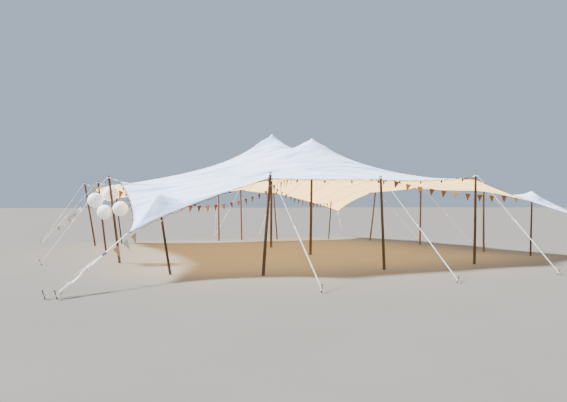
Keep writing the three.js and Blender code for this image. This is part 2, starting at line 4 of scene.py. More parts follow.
import bpy
import numpy as np
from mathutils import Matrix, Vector


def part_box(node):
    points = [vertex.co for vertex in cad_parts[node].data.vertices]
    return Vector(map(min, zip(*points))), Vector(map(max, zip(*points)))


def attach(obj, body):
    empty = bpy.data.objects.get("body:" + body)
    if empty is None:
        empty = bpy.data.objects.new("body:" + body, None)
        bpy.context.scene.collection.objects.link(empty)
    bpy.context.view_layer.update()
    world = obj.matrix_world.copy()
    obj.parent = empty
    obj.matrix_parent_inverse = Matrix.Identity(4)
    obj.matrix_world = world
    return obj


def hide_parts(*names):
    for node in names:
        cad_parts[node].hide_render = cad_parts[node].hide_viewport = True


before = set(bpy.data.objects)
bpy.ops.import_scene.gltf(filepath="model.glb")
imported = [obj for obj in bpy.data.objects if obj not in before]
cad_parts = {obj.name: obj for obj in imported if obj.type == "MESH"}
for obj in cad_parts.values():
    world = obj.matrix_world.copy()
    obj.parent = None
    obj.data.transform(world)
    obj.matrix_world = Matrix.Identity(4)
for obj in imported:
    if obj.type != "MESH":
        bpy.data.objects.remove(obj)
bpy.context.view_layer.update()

# Sizes in metres. Plan points are (x, y) from the foot of the left front pole, with x along
# the open front and y to the rear, and the tent is then moved so that it stands mid-frame
KING_RADIUS = (0.062, 0.048)
POLE_RADIUS = (0.052, 0.042)
PROP_RADIUS = (0.042, 0.034)
ROPE_RADIUS = 0.010
ROPE_LAY = 0.076
STRAP_WIDTH = 0.050
STRAP_THICK = 0.004
STRAP_STANDOFF = 0.014
RATCHET_LENGTH = 0.190
RATCHET_SHARE = 0.352
STAKE_RADIUS = 0.017
STAKE_HEIGHT = 0.240
STAKE_LEAN = 0.095
STAKE_RING = 0.090
SHARED_RING_DROP = 0.0364
POLE_RING_DROP = 0.070
LANTERN_RADIUS = 0.280
LANTERN_MOUTH = 0.16
LANTERN_RIBS = 22
PAPER_SHARE = 0.985
FESTOON_RADIUS = 0.006
FESTOON_SAG = 0.055
PENNANT = (0.250, 0.310)
PENNANT_PITCH = 0.520
LINE_RADIUS = 0.004
GATHERED_CLOTH = (0.085, 0.045)
CLOTH_LAY = 0.62
CLOTH_HALF = 0.002
CLOTH_DROP = 0.007
CLOTH_SIZE = (18.0, 18.3)
PANEL_WIDTH = 1.5
FLOOR = 400.0

# Camera: plan point and height, level way, and pitch
CAMERA_PLACE = (-6.221, -16.123, 2.2)
CAMERA_WAY = (0.394, 0.919)
CAMERA_PITCH = math.radians(0.416)

# A whole turn, the span of a chance angle, and two fixed ways
TURN = 2 * math.pi
ANY_TURN = 6.28
UP = Vector((0, 0, 1))
ACROSS = Vector((1, 0, 0))

# Perimeter poles: foot, top, the hem point that it holds, and that point's net cell
EDGE_POLES = {
    "front_left": ((0, 0), (0.05, -0.5, 3.21), (0.05, -0.33, 3.03), (8, 0)),
    "front_middle": ((4.35, -0.18), (4.1, -0.35, 3.18), (4.11, -0.2, 3.065), (16, 0)),
    "front_right": ((8.44, 0), (8.24, -0.3, 3.35), (8.24, -0.15, 3.23), (25, 0)),
    "left_front": ((-3.69, 5.53), (-4.1, 5.5, 3.3), (-3.68, 5.5, 3.1), (0, 11)),
    "left_middle": ((-3.6, 11.8), (-3.97, 11.8, 3.35), (-3.55, 11.8, 3.15), (0, 23)),
    "left_rear": ((-3.84, 15.06), (-4.39, 15.1, 3.4), (-4.005, 15.07, 3.19), (0, 29)),
    "right_front": ((12.74, 4.1), (12.76, 4.1, 3.0), (12.6, 4.1, 2.88), (36, 8)),
    "right_middle": ((12.7, 8.9), (12.77, 8.9, 3.26), (12.6, 8.9, 3.14), (36, 18)),
    "right_rear": ((12.25, 13.3), (12.66, 13.3, 3.13), (12.5, 13.3, 3.01), (36, 27)),
    "rear_left": ((3.52, 16.7), (3.5, 16.78, 3.11), (3.5, 16.6, 2.99), (14, 36)),
    "rear_middle": ((5.0, 16.7), (4.95, 16.78, 3.26), (4.95, 16.6, 3.14), (17, 36)),
    "rear_right": ((7.32, 16.5), (7.1, 16.58, 3.07), (7.1, 16.4, 2.95), (22, 36)),
}
SHARED_STAKES = {"left_middle": "left_rear", "rear_middle": "rear_left"}

# Poles under the canopy: foot, the canopy point above it, radii, and how strongly and how
# widely the net is gathered round it
INNER_POLES = {
    "king_pole_rear": ((4.45, 10.4), (4.5, 10.4, 5.895), KING_RADIUS, (2.34, 0.594)),
    "king_pole_front": ((4.52, 5.9), (4.6, 5.9, 5.18), KING_RADIUS, (0.26, 0.594)),
    "corner_prop_front_left": ((-2.64, 1.3), (-3.06, 1.1, 2.56), PROP_RADIUS, (1.5, 0.9)),
    "corner_prop_front_right": ((13.0, 1.6), (13.0, 1.5, 2.8), PROP_RADIUS, (1.02, 0.58)),
    "corner_prop_rear_right": ((10.45, 15.4), (10.7, 15.5, 2.5), PROP_RADIUS, (1.5, 0.9)),
    "corner_prop_rear_left": ((-2.3, 16.4), (-2.6, 16.7, 2.85), PROP_RADIUS, (1.5, 0.9)),
}
CORNERS = {
    "front_left": (-4.12, 0, 1.41),
    "front_right": (14.66, -0.3, 1.475),
    "rear_right": (12.05, 17.05, 1.76),
    "rear_left": (-3.9, 18.4, 2.35),
}
STAKES = {
    "front_left": (0.1, -3.8),
    "front_middle": (4.4, -3.75),
    "front_right": (8.5, -3.6),
    "left_front": (-6.4, 5.9),
    "left_rear": (-6.5, 17.0),
    "right_front": (16.2, 4.1),
    "right_middle": (16.2, 8.9),
    "right_rear": (15.8, 13.3),
    "rear_left": (4.2, 20.0),
    "rear_right": (7.4, 19.9),
    "corner_front_left": (-6.0, -2.23),
    "corner_front_left_outer": (-6.26, -2.11),
    "corner_front_right": (16.3, -2.4),
    "corner_rear_right": (13.6, 19.2),
    "corner_rear_left": (-6.5, 20.9),
}

# Cells of the net along each side, and fine steps to a cell
CELLS = 36
FINE = 5
LAST = CELLS * FINE

# Sides of the hem: axis that each runs along, its net cell, way in, and held points, and for
# each span between them how far it curves in and how far its middle rises
HEM_SIDES = [
    (0, 0, (0, 1), ["front_left", "front_left", "front_middle", "front_right", "front_right"],
     [(0.75, 0.04), (0.1, -0.01), (0.1, -0.06), (0.925, 0.16)]),
    (0, CELLS, (0, -1), ["rear_left", "rear_left", "rear_middle", "rear_right", "rear_right"],
     [(0.9, 0.2), (0.05, -0.02), (0.1, -0.05), (0.75, 0)]),
    (1, 0, (1, 0), ["front_left", "left_front", "left_middle", "left_rear", "rear_left"],
     [(0.3, -0.25), (0.25, -0.1), (0.15, -0.05), (0.4, -0.1)]),
    (1, CELLS, (-1, 0), ["front_right", "right_front", "right_middle", "right_rear", "rear_right"],
     [(0.5, 0.22), (0.2, -0.05), (0.2, -0.05), (0.15, 0.08)]),
]

# How many cells the exact hem fades in over, and the rise and width of the corner folds
HEM_FADE = 1.6
CORNER_FOLD = {"front_left": (0.15, 0.17)}
PLAIN_FOLD = (0.055, 0.28)

# The ridge between the kings, and the pointed peaks: width, and share of the net's own peak
RIDGE_PULL = 3
RIDGE_WIDTH = 0.25
CUSP_WIDTH = {"king_pole_rear": 0.332, "king_pole_front": 0.332}
PROP_CUSP_WIDTH = 0.42
CUSP_SHARE = 2.44
PROP_CUSP_SHARE = 1.35
CUSP_TIP = 0.05

# Shares of four neighbouring knots in a smooth curve, by powers of the place between two
SMOOTH = np.array([(0, -1, 2, -1), (2, 0, -5, 3), (0, 1, 4, -3), (0, 0, -1, 1)])

# Limits of the net's settling, and the wrinkles' height, start and reach
SETTLE_STEPS = 2000
SETTLED = 1e-18
WRINKLE = 0.0075
WRINKLE_START = 0.25
WRINKLE_REACH = 1.15

# Patches at the held points, in fine steps: where each starts and ends inwards, and its reach
PATCH_DEPTH = (0.45, 4.6)
PATCH_REACH = 3.4

# Rounded heads: share of the pole's radius, and drop below its top
HEAD_DOME = [(1.0, 0.085), (0.98, 0.058), (0.90, 0.034), (0.70, 0.015), (0.42, 0.005), (0.12, 0.0)]
POLE_HEAD = [(1.0, 0.020), (0.985, 0.009), (0.92, 0.002), (0.80, 0.0)]
HEAD_CLEARANCE = 0.002
KNOTS_PER_METRE = 2.2
POLE_LEVELS = 44

# Middle of the tent's plan, which stakes lean away from, and a stake's radius at each height
MIDDLE = (4.3, 8.0)
STAKE_PROFILE = [
    (0.0165, 0.0), (STAKE_RADIUS, 0.006), (STAKE_RADIUS, 0.212), (0.0185, 0.216), (0.0262, 0.217),
    (0.0272, 0.221), (0.0274, 0.230), (0.0262, 0.2365), (0.019, 0.2396), (0.008, STAKE_HEIGHT),
]

# A ratchet's plates and handle: length, width and height. Its rods and drum: place along it,
# half length, radius, sides and finish
RATCHET_PLATE = (0.17, 0.004, 0.040)
RATCHET_HANDLE = (0.150, 0.062, 0.020)
RATCHET_RODS = [
    (-0.07, 0.040, 0.008, 12, 1),
    (-0.015, 0.040, 0.008, 12, 1),
    (0.072, 0.040, 0.008, 12, 1),
    (0.03, 0.028, 0.021, 18, 0),
]

# Bunches of spare webbing: share of the way to the stake, length and girth
BUNDLES = ((0.40, 0.50, 0.070), (0.84, 0.52, 0.104))

# Where each tone of a flag's colour begins, from 0 to 1
TONE_PLACES = (0.0, 0.22, 0.38, 0.58, 0.76, 0.90)

# Lanterns: middle, what each hangs from, and how far along it
LANTERNS = {
    "lantern_outer": ((-4.59, 5.25, 2.37), "guy", 0.09),
    "lantern_low": ((-4.225, 5.69, 1.93), "guy", 0.07),
    "lantern_inner": ((-3.73, 5.01, 2.06), "hem", 0),
    "lantern_behind": ((-3.99, 5.86, 2.62), "tie", 0.35),
}

# Flag lines: the pole and the height at each end, and the sag
BUNTING = {
    "bunting_front": (("front_left", 2.78), ("king_pole_front", 4.48), 0.25),
    "bunting_right": (("king_pole_front", 4.52), ("corner_prop_front_right", 2.62), 0.57),
    "bunting_left": (("left_front", 2.87), ("king_pole_rear", 3.09), 0.80),
    "bunting_rear": (("king_pole_rear", 3.22), ("corner_prop_rear_right", 2.36), 0.37),
}

king_low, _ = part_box("king_pole_rear")
SHIFT = Vector((
    king_low.x - INNER_POLES["king_pole_rear"][0][0] + KING_RADIUS[0],
    king_low.y - INNER_POLES["king_pole_rear"][0][1] + KING_RADIUS[0],
    0,
))


def at(point):
    """A plan point with a height, moved to where the tent stands."""
    return Vector((point[0], point[1], point[2] if len(point) > 2 else 0)) + SHIFT


# Node helpers

FLOAT, WHOLE, VECTOR = "NodeSocketFloat", "NodeSocketInt", "NodeSocketVector"
SHAPE, COAT, OBJECT = "NodeSocketGeometry", "NodeSocketMaterial", "NodeSocketObject"


def found(sockets, key):
    """A socket by its number, or the one in use that has this name."""
    if isinstance(key, int):
        return sockets[key]
    return next(s for s in sockets if s.name == key and s.enabled)


class Nodes:
    """A node tree, with short ways to add nodes to it and to join them."""

    def __init__(self, tree):
        self.tree = tree

    def feed(self, node, inputs):
        """Each input gets a value, or is joined to a socket or to a node's first output."""
        for key, value in inputs.items():
            target = found(node.inputs, key)
            if isinstance(value, bpy.types.Node):
                value = next(s for s in value.outputs if s.enabled)
            if isinstance(value, bpy.types.NodeSocket):
                self.tree.links.new(value, target)
            else:
                target.default_value = (*value, 1.0) if target.type == "RGBA" else value

    def add(self, kind, inputs=None, **settings):
        node = self.tree.nodes.new(kind)
        for key, value in settings.items():
            setattr(node, key, value)
        self.feed(node, inputs or {})
        return node

    def maths(self, operation, *values):
        return self.add("ShaderNodeMath", dict(enumerate(values)), operation=operation).outputs[0]

    def times(self, first, second):
        return self.maths("MULTIPLY", first, second)

    def split(self, vector):
        return self.add("ShaderNodeSeparateXYZ", {0: vector}).outputs

    def scaled(self, vector, factors):
        return self.add("ShaderNodeVectorMath", {0: vector, 1: factors}, operation="MULTIPLY").outputs[0]

    def noise(self, vector, scale, detail=4.0, roughness=0.55):
        values = {"Vector": vector, "Scale": scale, "Detail": detail, "Roughness": roughness}
        return self.add("ShaderNodeTexNoise", values).outputs["Fac"]

    def spots(self, vector, scale, randomness=1.0):
        """Distance to the nearest of many scattered points."""
        values = {"Vector": vector, "Scale": scale, "Randomness": randomness}
        return self.add("ShaderNodeTexVoronoi", values, feature="F1").outputs["Distance"]

    def ranged(self, value, low, high, out_low=0.0, out_high=1.0):
        values = (value, low, high, out_low, out_high)
        return self.add("ShaderNodeMapRange", dict(enumerate(values)), clamp=True).outputs[0]

    def mixed(self, factor, first, second):
        node = self.add("ShaderNodeMix", {"Factor": factor, "A": first, "B": second}, data_type="RGBA")
        return found(node.outputs, "Result")

    def use(self, group, vector, **values):
        return self.add("ShaderNodeGroup", {"Vector": vector, **values}, node_tree=group.tree).outputs


class Group(Nodes):
    """A node group whose inputs are read as group[name]."""

    def __init__(self, name, inputs, outputs, kind="ShaderNodeTree"):
        super().__init__(bpy.data.node_groups.new(name, kind))
        for way, sockets in (("INPUT", inputs), ("OUTPUT", outputs)):
            for key, socket_kind in sockets.items():
                self.tree.interface.new_socket(name=key, in_out=way, socket_type=socket_kind)
        self.given = self.add("NodeGroupInput").outputs

    def __getitem__(self, key):
        return self.given[key]

    def give(self, **results):
        self.add("NodeGroupOutput", results)
        return self


def weave_group():
    """Threads that cross: Height is the cloth's relief, and Fleck its uneven yarn."""
    weave = Group(
        "cloth_weave", {"Vector": VECTOR, "Thread": FLOAT, "Slub": FLOAT}, {"Height": FLOAT, "Fleck": FLOAT})
    waves = []
    for place in weave.split(weave["Vector"])[:2]:
        turns = weave.maths("DIVIDE", place, weave["Thread"])
        wave = weave.maths("SINE", weave.times(turns, TURN))
        waves.append(weave.maths("MULTIPLY_ADD", wave, 0.5, 0.5))
    relief = weave.maths("MULTIPLY_ADD", weave.maths("MAXIMUM", *waves), 0.6, weave.times(*waves))
    slub = weave.noise(weave["Vector"], 90.0, 3.0)
    return weave.give(Height=weave.maths("ADD", relief, weave.times(slub, weave["Slub"])), Fleck=slub)


def soil_group():
    """Dirt that gathers in patches and near the ground."""
    soil = Group("weather_soil", {"Vector": VECTOR, "Reach": FLOAT, "Patches": FLOAT}, {"Mask": FLOAT})
    broad = soil.noise(soil["Vector"], 1.3, 6.0, 0.62)
    fine = soil.noise(soil["Vector"], 17.0, 5.0, 0.6)
    low = soil.maths("DIVIDE", soil.split(soil["Vector"])[2], soil["Reach"])
    splash = soil.maths("SUBTRACT", soil.maths("MULTIPLY_ADD", fine, 0.9, 0.55), low)
    patches = soil.times(soil.ranged(broad, 0.5, 0.78), soil["Patches"])
    mask = soil.maths("MAXIMUM", soil.times(splash, 0.9), patches)
    return soil.give(Mask=soil.add("ShaderNodeClamp", {0: mask}))


def grain_group():
    """Long timber grain with checks and knots. Grain runs up the piece."""
    timber = Group(
        "timber_grain", {"Vector": VECTOR},
        {"Grain": FLOAT, "Checks": FLOAT, "Knots": FLOAT, "Height": FLOAT})

    def drawn_out(factors, detail, roughness=0.55):
        return timber.noise(timber.scaled(timber["Vector"], factors), 1.0, detail, roughness)

    grain = drawn_out((38.0, 38.0, 1.6), 8.0, 0.68)
    wavy = drawn_out((15.0, 15.0, 0.45), 3.0)
    checks = timber.ranged(drawn_out((70.0, 70.0, 0.9), 2.0), 0.66, 0.74)
    spots = timber.spots(timber.scaled(timber["Vector"], (6.0, 6.0, 1.7)), 1.0)
    knots = timber.ranged(spots, 0.22, 0.08)
    relief = timber.maths("MULTIPLY_ADD", checks, -1.4, grain)
    return timber.give(
        Grain=timber.maths("MULTIPLY_ADD", wavy, 0.45, timber.times(grain, 0.55)),
        Checks=checks,
        Knots=knots,
        Height=timber.maths("MULTIPLY_ADD", knots, 0.5, relief),
    )


WEAVE = weave_group()
SOIL = soil_group()
GRAIN = grain_group()


# Finishes

class Finish(Nodes):
    """A material whose base colour is built up in layers."""

    def __init__(self, name, base, roughness, metallic=0.0, specular=0.3):
        self.material = bpy.data.materials.new(name)
        self.material.use_nodes = True
        super().__init__(self.material.node_tree)
        self.base = base
        self.shade(**{"Roughness": roughness, "Metallic": metallic, "Specular IOR Level": specular})
        coords = self.add("ShaderNodeTexCoord").outputs
        self.object = coords["Object"]
        self.uv = coords["UV"]

    def shade(self, **inputs):
        self.feed(self.tree.nodes["Principled BSDF"], inputs)

    def over(self, mask, colour):
        """A colour laid over the base where the mask is."""
        self.base = self.mixed(mask, self.base, colour)

    def add_painted_glow(self, painted_glow):
        """Painted glow: the base colour is also given off as light of this strength, standing in for daylight
        that falls on the piece and soaks through thin cloth and paper.
        """
        if painted_glow:
            self.shade(**{"Emission Color": self.base, "Emission Strength": painted_glow})

    def bump(self, height, distance, strength):
        values = {"Strength": strength, "Distance": distance, "Height": height}
        self.shade(Normal=self.add("ShaderNodeBump", values))

    def soiled(self, reach, patches):
        return self.use(SOIL, self.object, Reach=reach, Patches=patches)["Mask"]

    def done(self):
        self.shade(**{"Base Color": self.base})
        return self.material


def canopy_finish(name, fresh, aged, stained, shaded, shade_dapple_share, panel_tone, soil_patches, painted_glow):
    """Coated stretch cloth in sewn panels, slightly uneven, with long soft dapples of painted shade."""
    cloth = Finish(name, fresh, 0.72, specular=0.25)
    weave = cloth.use(WEAVE, cloth.uv, Thread=0.012, Slub=0.9)
    panel = cloth.maths("FLOOR", cloth.maths("DIVIDE", cloth.split(cloth.uv)[0], PANEL_WIDTH))
    lot = cloth.add("ShaderNodeTexWhiteNoise", {"W": panel}, noise_dimensions="1D").outputs["Value"]
    drift = cloth.noise(cloth.object, 0.55, 5.0, 0.5)
    cloth.over(cloth.maths("MULTIPLY_ADD", lot, panel_tone, cloth.times(drift, 0.6)), aged)
    cloth.over(cloth.times(cloth.soiled(0.02, soil_patches), 0.55), stained)
    cloth.over(cloth.ranged(weave["Fleck"], 0.35, 0.7, 0.0, 0.10), aged)
    # Painted shade: long soft dapples of shadow, laid over in the shaded colour
    shade_dapples = cloth.noise(cloth.scaled(cloth.object, (0.35, 1.5, 0.8)), 1.4)
    cloth.over(cloth.ranged(shade_dapples, 0.46, 0.66, 0.0, shade_dapple_share), shaded)
    # Painted glow of the cloth, standing in for daylight through it
    cloth.add_painted_glow(painted_glow)
    cloth.shade(Roughness=cloth.ranged(drift, 0.3, 0.7, 0.62, 0.82))
    creases = cloth.noise(cloth.scaled(cloth.object, (1.0, 2.6, 1.0)), 1.7, 6.0, 0.58)
    folds = cloth.noise(cloth.scaled(cloth.object, (0.30, 1.3, 0.5)), 1.1, 2.0, 0.45)
    height = cloth.maths("MULTIPLY_ADD", weave["Height"], 0.05, creases)
    cloth.bump(cloth.maths("MULTIPLY_ADD", folds, 4.0, height), 0.03, 0.7)
    return cloth.done()


def timber_finish(name, pale, deep, dark):
    """Round softwood poles, oiled orange-brown, darker in the checks and knots."""
    timber = Finish(name, deep, 0.66, specular=0.35)
    grain = timber.use(GRAIN, timber.object)
    timber.over(timber.ranged(grain["Grain"], 0.32, 0.68), pale)
    timber.over(timber.ranged(timber.noise(timber.object, 2.2, 3.0), 0.45, 0.75, 0.0, 0.5), deep)
    timber.over(timber.times(grain["Knots"], 0.75), dark)
    timber.over(timber.times(grain["Checks"], 0.8), dark)
    timber.over(timber.times(timber.soiled(0.5, 0.25), 0.6), (0.16, 0.12, 0.09))
    timber.shade(Roughness=timber.ranged(grain["Grain"], 0.3, 0.7, 0.55, 0.82))
    timber.bump(grain["Height"], 0.004, 0.6)
    return timber.done()


def cloth_finish(name, fresh, aged, thread, soil_reach, patches=0.3, painted_glow=0.0):
    """Woven band or thread: webbing, hem tape and cord."""
    cloth = Finish(name, fresh, 0.85, specular=0.2)
    weave = cloth.use(WEAVE, cloth.uv, Thread=thread, Slub=0.4)
    cloth.over(cloth.ranged(cloth.noise(cloth.object, 6.0), 0.35, 0.7), aged)
    # Painted shade: a little darker in the weave's hollows between the threads
    cloth.over(cloth.ranged(weave["Height"], 0.3, 1.2, 0.25, 0.0), aged)
    cloth.over(cloth.times(cloth.soiled(soil_reach, patches), 0.7), (0.30, 0.25, 0.19))
    # Painted glow, where a strength is given
    cloth.add_painted_glow(painted_glow)
    cloth.bump(weave["Height"], thread * 0.4, 0.5)
    return cloth.done()


def rope_finish():
    """White laid rope: fibres that follow the strands, grubby at the ground."""
    rope = Finish("white_rope", (0.66, 0.65, 0.62), 0.88, specular=0.2)
    fibre = rope.noise(rope.object, 260.0, roughness=0.6)
    rope.over(fibre, (0.92, 0.91, 0.88))
    # Painted glow: the rope's colour is given off as light, standing in for daylight on it
    rope.add_painted_glow(0.6)
    rope.over(rope.times(rope.soiled(0.45, 0.35), 0.6), (0.36, 0.30, 0.22))
    rope.bump(fibre, 0.0016, 0.6)
    return rope.done()


def steel_finish():
    """Galvanised steel, dull and rusting where the coat is worn."""
    steel = Finish("worn_steel", (0.30, 0.31, 0.32), 0.5, metallic=1.0)
    rust = steel.soiled(0.22, 0.7)
    steel.over(steel.noise(steel.object, 60.0, 3.0), (0.48, 0.49, 0.50))
    steel.over(rust, (0.17, 0.085, 0.045))
    steel.shade(
        Roughness=steel.ranged(rust, 0.0, 0.6, 0.42, 0.9),
        Metallic=steel.ranged(rust, 0.2, 0.8, 1.0, 0.1),
    )
    steel.bump(steel.noise(steel.object, 140.0), 0.0012, 0.5)
    return steel.done()


def paper_finish():
    """White lantern paper, with fibres and the odd crease."""
    paper = Finish("lantern_paper", (0.93, 0.925, 0.915), 0.9, specular=0.15)
    fibre = paper.noise(paper.object, 120.0, 6.0, 0.65)
    paper.over(paper.ranged(paper.noise(paper.object, 5.0), 0.35, 0.7), (0.84, 0.83, 0.815))
    paper.over(paper.ranged(fibre, 0.4, 0.7, 0.0, 0.12), (0.62, 0.60, 0.56))
    # Painted glow: the paper's colour is given off as light, standing in for daylight on and through the
    # lantern
    paper.add_painted_glow(0.55)
    paper.bump(fibre, 0.0012, 0.35)
    return paper.done()


def mottled_finish(name, dark, light, scale, detail, roughness, specular, relief):
    """Plastic, rubber, lamp glass or floor, slightly mottled."""
    plain = Finish(name, dark, roughness, specular=specular)
    mottle = plain.noise(plain.object, scale, detail)
    plain.over(mottle, light)
    if relief:
        plain.bump(mottle, relief, 0.4)
    return plain.done()


def bunting_finish(name, tones, painted_glow):
    """Cotton flags in a few tones, one tone to a flag."""
    cotton = Finish(name, tones[0], 0.9, specular=0.15)
    tone = cotton.add("ShaderNodeAttribute", attribute_name="flag_tone").outputs["Fac"]
    ramp = cotton.add("ShaderNodeValToRGB", {"Fac": tone})
    cotton.base = ramp.outputs["Color"]
    ramp.color_ramp.interpolation = "CONSTANT"
    while len(ramp.color_ramp.elements) < len(tones):
        ramp.color_ramp.elements.new(0.5)
    for element, place, colour in zip(ramp.color_ramp.elements, TONE_PLACES, tones):
        element.position = place
        element.color = (*colour, 1)
    weave = cotton.use(WEAVE, cotton.uv, Thread=0.004, Slub=0.5)
    dots = cotton.ranged(cotton.spots(cotton.uv, 34.0, 0.55), 0.30, 0.22)
    dots = cotton.times(dots, cotton.ranged(tone, 0.70, 0.72))
    cotton.over(cotton.times(dots, 0.6), (0.16, 0.10, 0.07))
    cotton.over(cotton.ranged(weave["Fleck"], 0.3, 0.7, 0.0, 0.3), (0.09, 0.06, 0.04))
    # Painted glow of the flags
    cotton.add_painted_glow(painted_glow)
    cotton.bump(weave["Height"], 0.0016, 0.5)
    return cotton.done()


# Outside and inside of the canopy: each carries painted dapples of shade in its shaded colour, and a painted
# glow. The inside's strong glow paints the daylight that shines through the cloth
OUTER = canopy_finish(
    "canopy_outside", (0.71, 0.82, 1.0), (0.61, 0.745, 1.0), (0.50, 0.53, 0.60), (0.27, 0.41, 0.78),
    shade_dapple_share=0.95, panel_tone=0.20, soil_patches=0.15, painted_glow=0.60,
)
INNER = canopy_finish(
    "canopy_inside", (0.98, 0.70, 0.33), (0.93, 0.61, 0.26), (0.62, 0.42, 0.22), (0.86, 0.55, 0.24),
    shade_dapple_share=0.6, panel_tone=0.25, soil_patches=0.20, painted_glow=3.8,
)
HEM = cloth_finish("hem_tape", (0.62, 0.58, 0.52), (0.48, 0.44, 0.39), 0.006, 0.02)
# Dark tape for the hem's edge and underside: painted shade of the rolled edge
HEM_SHADE = cloth_finish("hem_tape_under", (0.24, 0.19, 0.15), (0.16, 0.125, 0.10), 0.006, 0.02)
SEAM = cloth_finish("seam_tape", (0.72, 0.71, 0.70), (0.58, 0.56, 0.53), 0.006, 0.02)
SEAM_INNER = cloth_finish(
    "seam_tape_inside", (0.62, 0.34, 0.16), (0.50, 0.26, 0.12), 0.006, 0.02, painted_glow=0.6)
THREAD = cloth_finish("sewing_thread", (0.40, 0.35, 0.30), (0.30, 0.26, 0.22), 0.003, 0.02)
WEBBING = cloth_finish("white_webbing", (0.88, 0.87, 0.84), (0.66, 0.64, 0.60), 0.0045, 0.4, painted_glow=0.4)
TWISTED = cloth_finish(
    "twisted_cloth", (0.90, 0.91, 0.93), (0.46, 0.45, 0.44), 0.008, 0.2, 0.2, painted_glow=0.5)
CORD = cloth_finish("white_cord", (0.72, 0.70, 0.65), (0.55, 0.52, 0.46), 0.003, 0.02)
ROPE = rope_finish()
# Two copies of one timber: the first is painted as sunlit, for the poles round the edge; the darker second
# paints the shade under the canopy, for the poles that stand beneath it
TIMBER = timber_finish("sunned_timber", (0.175, 0.094, 0.042), (0.088, 0.045, 0.019), (0.032, 0.017, 0.008))
SHADED_TIMBER = timber_finish(
    "oiled_timber", (0.085, 0.047, 0.021), (0.040, 0.021, 0.009), (0.016, 0.009, 0.005))
END_GRAIN = timber_finish("timber_end", (0.17, 0.105, 0.056), (0.10, 0.060, 0.032), (0.04, 0.024, 0.014))
STEEL = steel_finish()
PAPER = paper_finish()
BLUE = mottled_finish(
    "blue_plastic", (0.025, 0.07, 0.30), (0.045, 0.12, 0.46), 40.0, 4.0, 0.42, 0.4, relief=0.0008)
RUBBER = mottled_finish(
    "black_rubber", (0.014, 0.015, 0.014), (0.030, 0.031, 0.030), 50.0, 4.0, 0.62, 0.4, relief=0.0008)
GLASS = mottled_finish(
    "lamp_glass", (0.80, 0.78, 0.70), (0.92, 0.91, 0.86), 30.0, 3.0, 0.18, specular=0.6, relief=0)
FLAG = bunting_finish("flag_cotton", [
    (0.12, 0.062, 0.040), (0.32, 0.19, 0.065), (0.22, 0.092, 0.055),
    (0.13, 0.080, 0.052), (0.29, 0.175, 0.105), (0.40, 0.32, 0.23),
], 0.05)
PALE_FLAG = bunting_finish("pale_flag_cotton", [
    (0.90, 0.90, 0.87), (0.48, 0.27, 0.20), (0.84, 0.87, 0.78),
    (0.90, 0.87, 0.82), (0.40, 0.50, 0.38), (0.62, 0.44, 0.36),
], 0.35)


# Mesh helpers

def mesh_object(name, points, faces, finishes, picks=None, smooth=True, uvs=None):
    """A piece whose place is in its mesh. uvs holds one pair for each face corner."""
    mesh = bpy.data.meshes.new(name)
    mesh.from_pydata([tuple(map(float, p)) for p in points], [], [tuple(map(int, f)) for f in faces])
    for finish in finishes:
        mesh.materials.append(finish)
    if picks is not None:
        mesh.polygons.foreach_set("material_index", np.asarray(picks, np.int32))
    flags = smooth if isinstance(smooth, list) else [smooth] * len(mesh.polygons)
    mesh.polygons.foreach_set("use_smooth", np.asarray(flags, bool))
    if uvs is not None:
        layer = mesh.uv_layers.new(name="cloth")
        layer.data.foreach_set("uv", np.asarray(uvs, np.float32).ravel())
    mesh.update()
    return in_scene(name, mesh)


def in_scene(name, data):
    piece = bpy.data.objects.new(name, data)
    bpy.context.scene.collection.objects.link(piece)
    return piece


def placed(piece, slot, *nodes):
    """The piece stands with the tent and in the place of these nodes, which are hidden; the slot is not used.
    """
    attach(piece, "root")
    if nodes:
        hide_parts(*nodes)
    return piece


class Build:
    """Several closed shapes gathered into one mesh."""

    def __init__(self):
        self.points = []
        self.faces = []
        self.picks = []
        self.uvs = []
        self.smooth = []

    def add(self, points, faces, pick=0, uv=None, smooth=True):
        start = len(self.points)
        self.points.extend(points)
        for face in faces:
            self.faces.append([start + k for k in face])
            self.picks.append(pick)
            self.smooth.append(smooth)
            for k in face:
                self.uvs.append((0.0, 0.0) if uv is None else uv[k])

    def rings(self, rings, pick=0, smooth=True, caps=True, cap_pick=None, metres=None, closed=False):
        """A skin over rings of points that run counter-clockwise about the way along. It is
        capped at both ends, or closed where the last ring meets the first."""
        count, sides = len(rings), len(rings[0])
        total = count * sides
        faces = []
        for here in range(0, total if closed else total - sides, sides):
            following = (here + sides) % total
            for s in range(sides):
                t = (s + 1) % sides
                faces.append((here + s, here + t, following + t, following + s))
        uv = None
        if metres is not None:
            around, length = metres
            uv = [(around * s / sides, length * k / (count - 1)) for k in range(count) for s in range(sides)]
        self.add([p for ring in rings for p in ring], faces, pick, uv, smooth)
        if caps and not closed:
            first, last = range(-total, sides - total), range(-sides, 0)
            self.add([], [first[::-1], last], pick if cap_pick is None else cap_pick, smooth=False)

    def rod(self, start, end, radius, sides, pick=0, up=UP, steps=2):
        """A round bar between two points."""
        self.rings(swept(straight(start, end, steps), round_section(radius, sides), up), pick)

    def hoop(self, loop, centre, face, radius, sides, pick=0):
        """A round wire bent into a closed loop about its centre."""
        section = round_section(radius, sides)[::-1]
        self.rings([
            [point + (point - centre).normalized() * x + face * y for x, y in section] for point in loop
        ], pick, closed=True)

    def piece(self, name, *finishes):
        return mesh_object(name, self.points, self.faces, finishes, self.picks, self.smooth, self.uvs)


